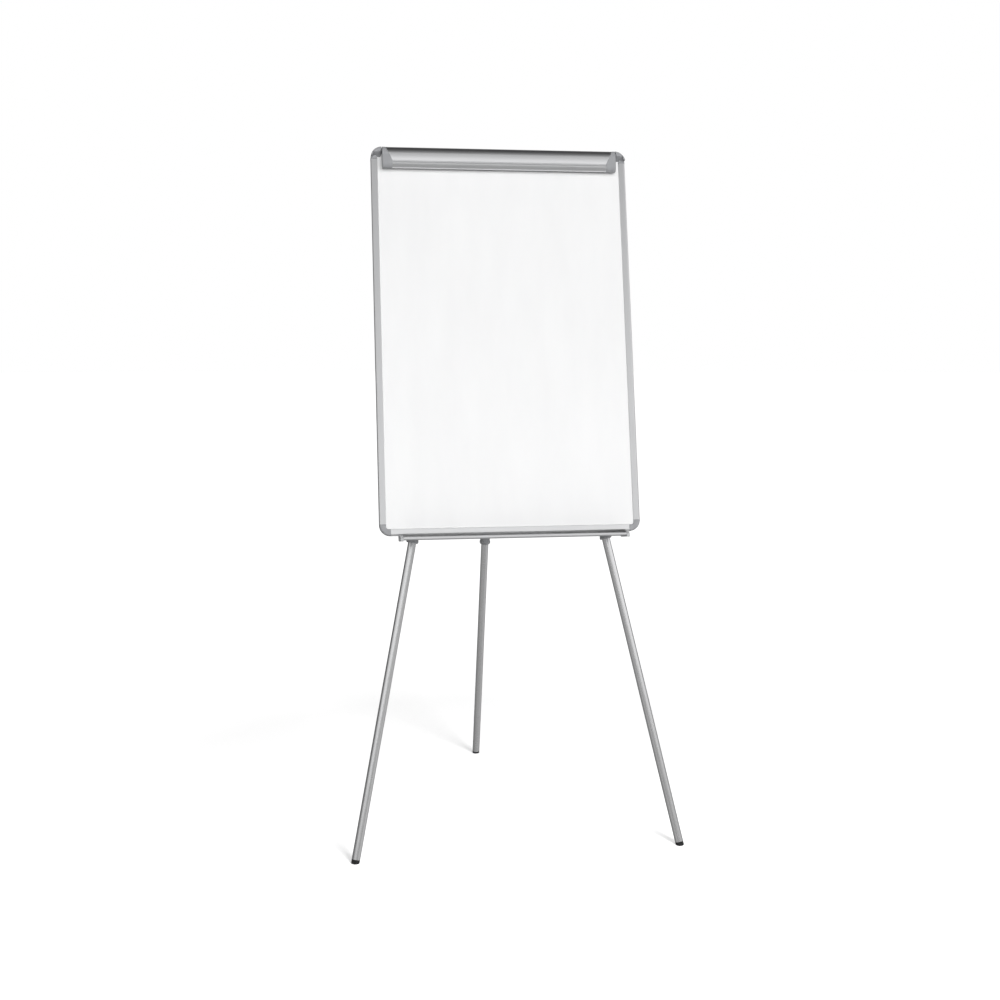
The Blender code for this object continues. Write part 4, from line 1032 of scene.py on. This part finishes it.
def make_world():
    """A studio seen in reflections: bright in front, dark overhead and to the left. White to the eye."""
    world = bpy.data.worlds.new("studio")
    bpy.context.scene.world = world
    world.use_nodes = True
    tree = world.node_tree
    tree.nodes.clear()
    add, link = tree.nodes.new, tree.links.new

    def reckon(operation, first):
        node = add("ShaderNodeMath")
        node.operation = operation
        link(first, node.inputs[0])
        return node

    def blend(kind, first, second):
        node = add("ShaderNodeMix")
        node.data_type = "RGBA"
        node.blend_type = kind
        node.inputs["Factor"].default_value = 1.0
        link(first, node.inputs[6])
        link(second, node.inputs[7])
        return node.outputs[2]

    where = add("ShaderNodeTexCoord")
    split = add("ShaderNodeSeparateXYZ")
    link(where.outputs["Generated"], split.inputs["Vector"])
    front = reckon("MULTIPLY", split.outputs["Y"])
    front.inputs[1].default_value = -1
    bearing = reckon("ARCTAN2", split.outputs["X"])
    link(front.outputs[0], bearing.inputs[1])
    heights = [(math.sin(math.radians(angle)), grey) for angle, grey in STUDIO_BY_HEIGHT]
    bearings = [(math.radians(angle), grey) for angle, grey in STUDIO_BY_BEARING]
    rise = world_ramp(tree, split.outputs["Z"], heights, -1, 1)
    studio = blend("MULTIPLY", rise, world_ramp(tree, bearing.outputs[0], bearings, -math.pi, math.pi))
    side = reckon("ABSOLUTE", split.outputs["X"])
    low = world_ramp(tree, split.outputs["Z"], FLOOR_BY_HEIGHT, -1, 1)
    floor = blend("MULTIPLY", low, world_ramp(tree, side.outputs[0], FLOOR_BY_SIDE, 0, 1))
    light = add("ShaderNodeBackground")
    link(blend("ADD", studio, floor), light.inputs["Color"])
    white = add("ShaderNodeBackground")
    white.inputs["Color"].default_value = (1, 1, 1, 1)
    path = add("ShaderNodeLightPath")
    choose = add("ShaderNodeMixShader")
    link(path.outputs["Is Camera Ray"], choose.inputs["Fac"])
    link(light.outputs["Background"], choose.inputs[1])
    link(white.outputs["Background"], choose.inputs[2])
    out = add("ShaderNodeOutputWorld")
    link(choose.outputs["Shader"], out.inputs["Surface"])


def add_light(name, data, towards, place=(0, 0, 0)):
    """A lamp that shines from towards, and is not itself seen or mirrored."""
    light = bpy.data.objects.new(name, data)
    bpy.context.scene.collection.objects.link(light)
    light.location = place
    light.rotation_euler = Vector(towards).to_track_quat("Z", "Y").to_euler()
    light.visible_camera = False
    light.visible_glossy = False
    return light


def soft_sun(name, bearing, height, strength, unlit):
    """Broad soft light for the matt surfaces, from a bearing and a height; it leaves out the unlit object."""
    data = bpy.data.lights.new(name, "SUN")
    data.energy = strength
    data.angle = SUN_SOFTNESS
    flat = math.cos(height)
    towards = (flat * math.sin(bearing), -flat * math.cos(bearing), math.sin(height))
    light = add_light(name, data, towards)
    left_out = named_collection("not_lit_by_" + name, [unlit])
    left_out.collection_objects[0].light_linking.link_state = "EXCLUDE"
    light.light_linking.receiver_collection = left_out


def named_collection(name, objects):
    collection = bpy.data.collections.new(name)
    for obj in objects:
        collection.objects.link(obj)
    return collection


def make_floor_lamp(floor, casters):
    """Lights the floor alone, and only the casters shade it, so the board leaves no shadow on the floor."""
    data = bpy.data.lights.new("floor_lamp", "AREA")
    data.energy = FLOOR_LAMP_POWER
    data.shape = "DISK"
    data.size = FLOOR_LAMP_SIZE
    lamp = add_light("floor_lamp", data, FLOOR_LAMP_PLACE, FLOOR_LAMP_PLACE)
    lamp.light_linking.receiver_collection = named_collection("lit_by_floor_lamp", [floor])
    lamp.light_linking.blocker_collection = named_collection("shades_floor_lamp", casters)


def make_camera():
    camera = bpy.data.objects.new("camera", bpy.data.cameras.new("camera"))
    bpy.context.scene.collection.objects.link(camera)
    camera.location = CAMERA_PLACE
    camera.rotation_euler = (math.radians(90) + CAMERA_PITCH, 0, -CAMERA_YAW)
    camera.data.sensor_width = SENSOR_WIDTH
    camera.data.lens = CAMERA_LENS
    camera.data.clip_end = 100
    bpy.context.scene.camera = camera


def set_colours():
    view = bpy.context.scene.view_settings
    view.view_transform = "Standard"
    view.look = "None"


MADE = make_materials()
dress_cad_nodes(MADE)
make_rails(MADE)
for SIDE_NAME, SIDE in SIDES:
    make_corner(MADE, SIDE, SIDE_NAME, False)
    make_corner(MADE, SIDE, SIDE_NAME, True)
    make_cheek(MADE, SIDE, SIDE_NAME)
    make_clamp_end(MADE, SIDE, SIDE_NAME)
    make_tray_end(MADE, SIDE, SIDE_NAME)
    make_hinge_spring(MADE, SIDE, SIDE_NAME)
make_clamp(MADE)
make_tray(MADE)
make_bracket(MADE)
make_legs(MADE)
FLOOR = make_floor()
make_world()
soft_sun("fill", FILL_BEARING, FILL_HEIGHT, FILL_STRENGTH, FLOOR)
soft_sun("back_fill", BACK_BEARING, BACK_HEIGHT, BACK_STRENGTH, FLOOR)
CASTERS = [bpy.data.objects[start + name] for name in LEGS for start in ("tube_inner_", "foot_tip_")]
make_floor_lamp(FLOOR, CASTERS)
make_camera()
set_colours()
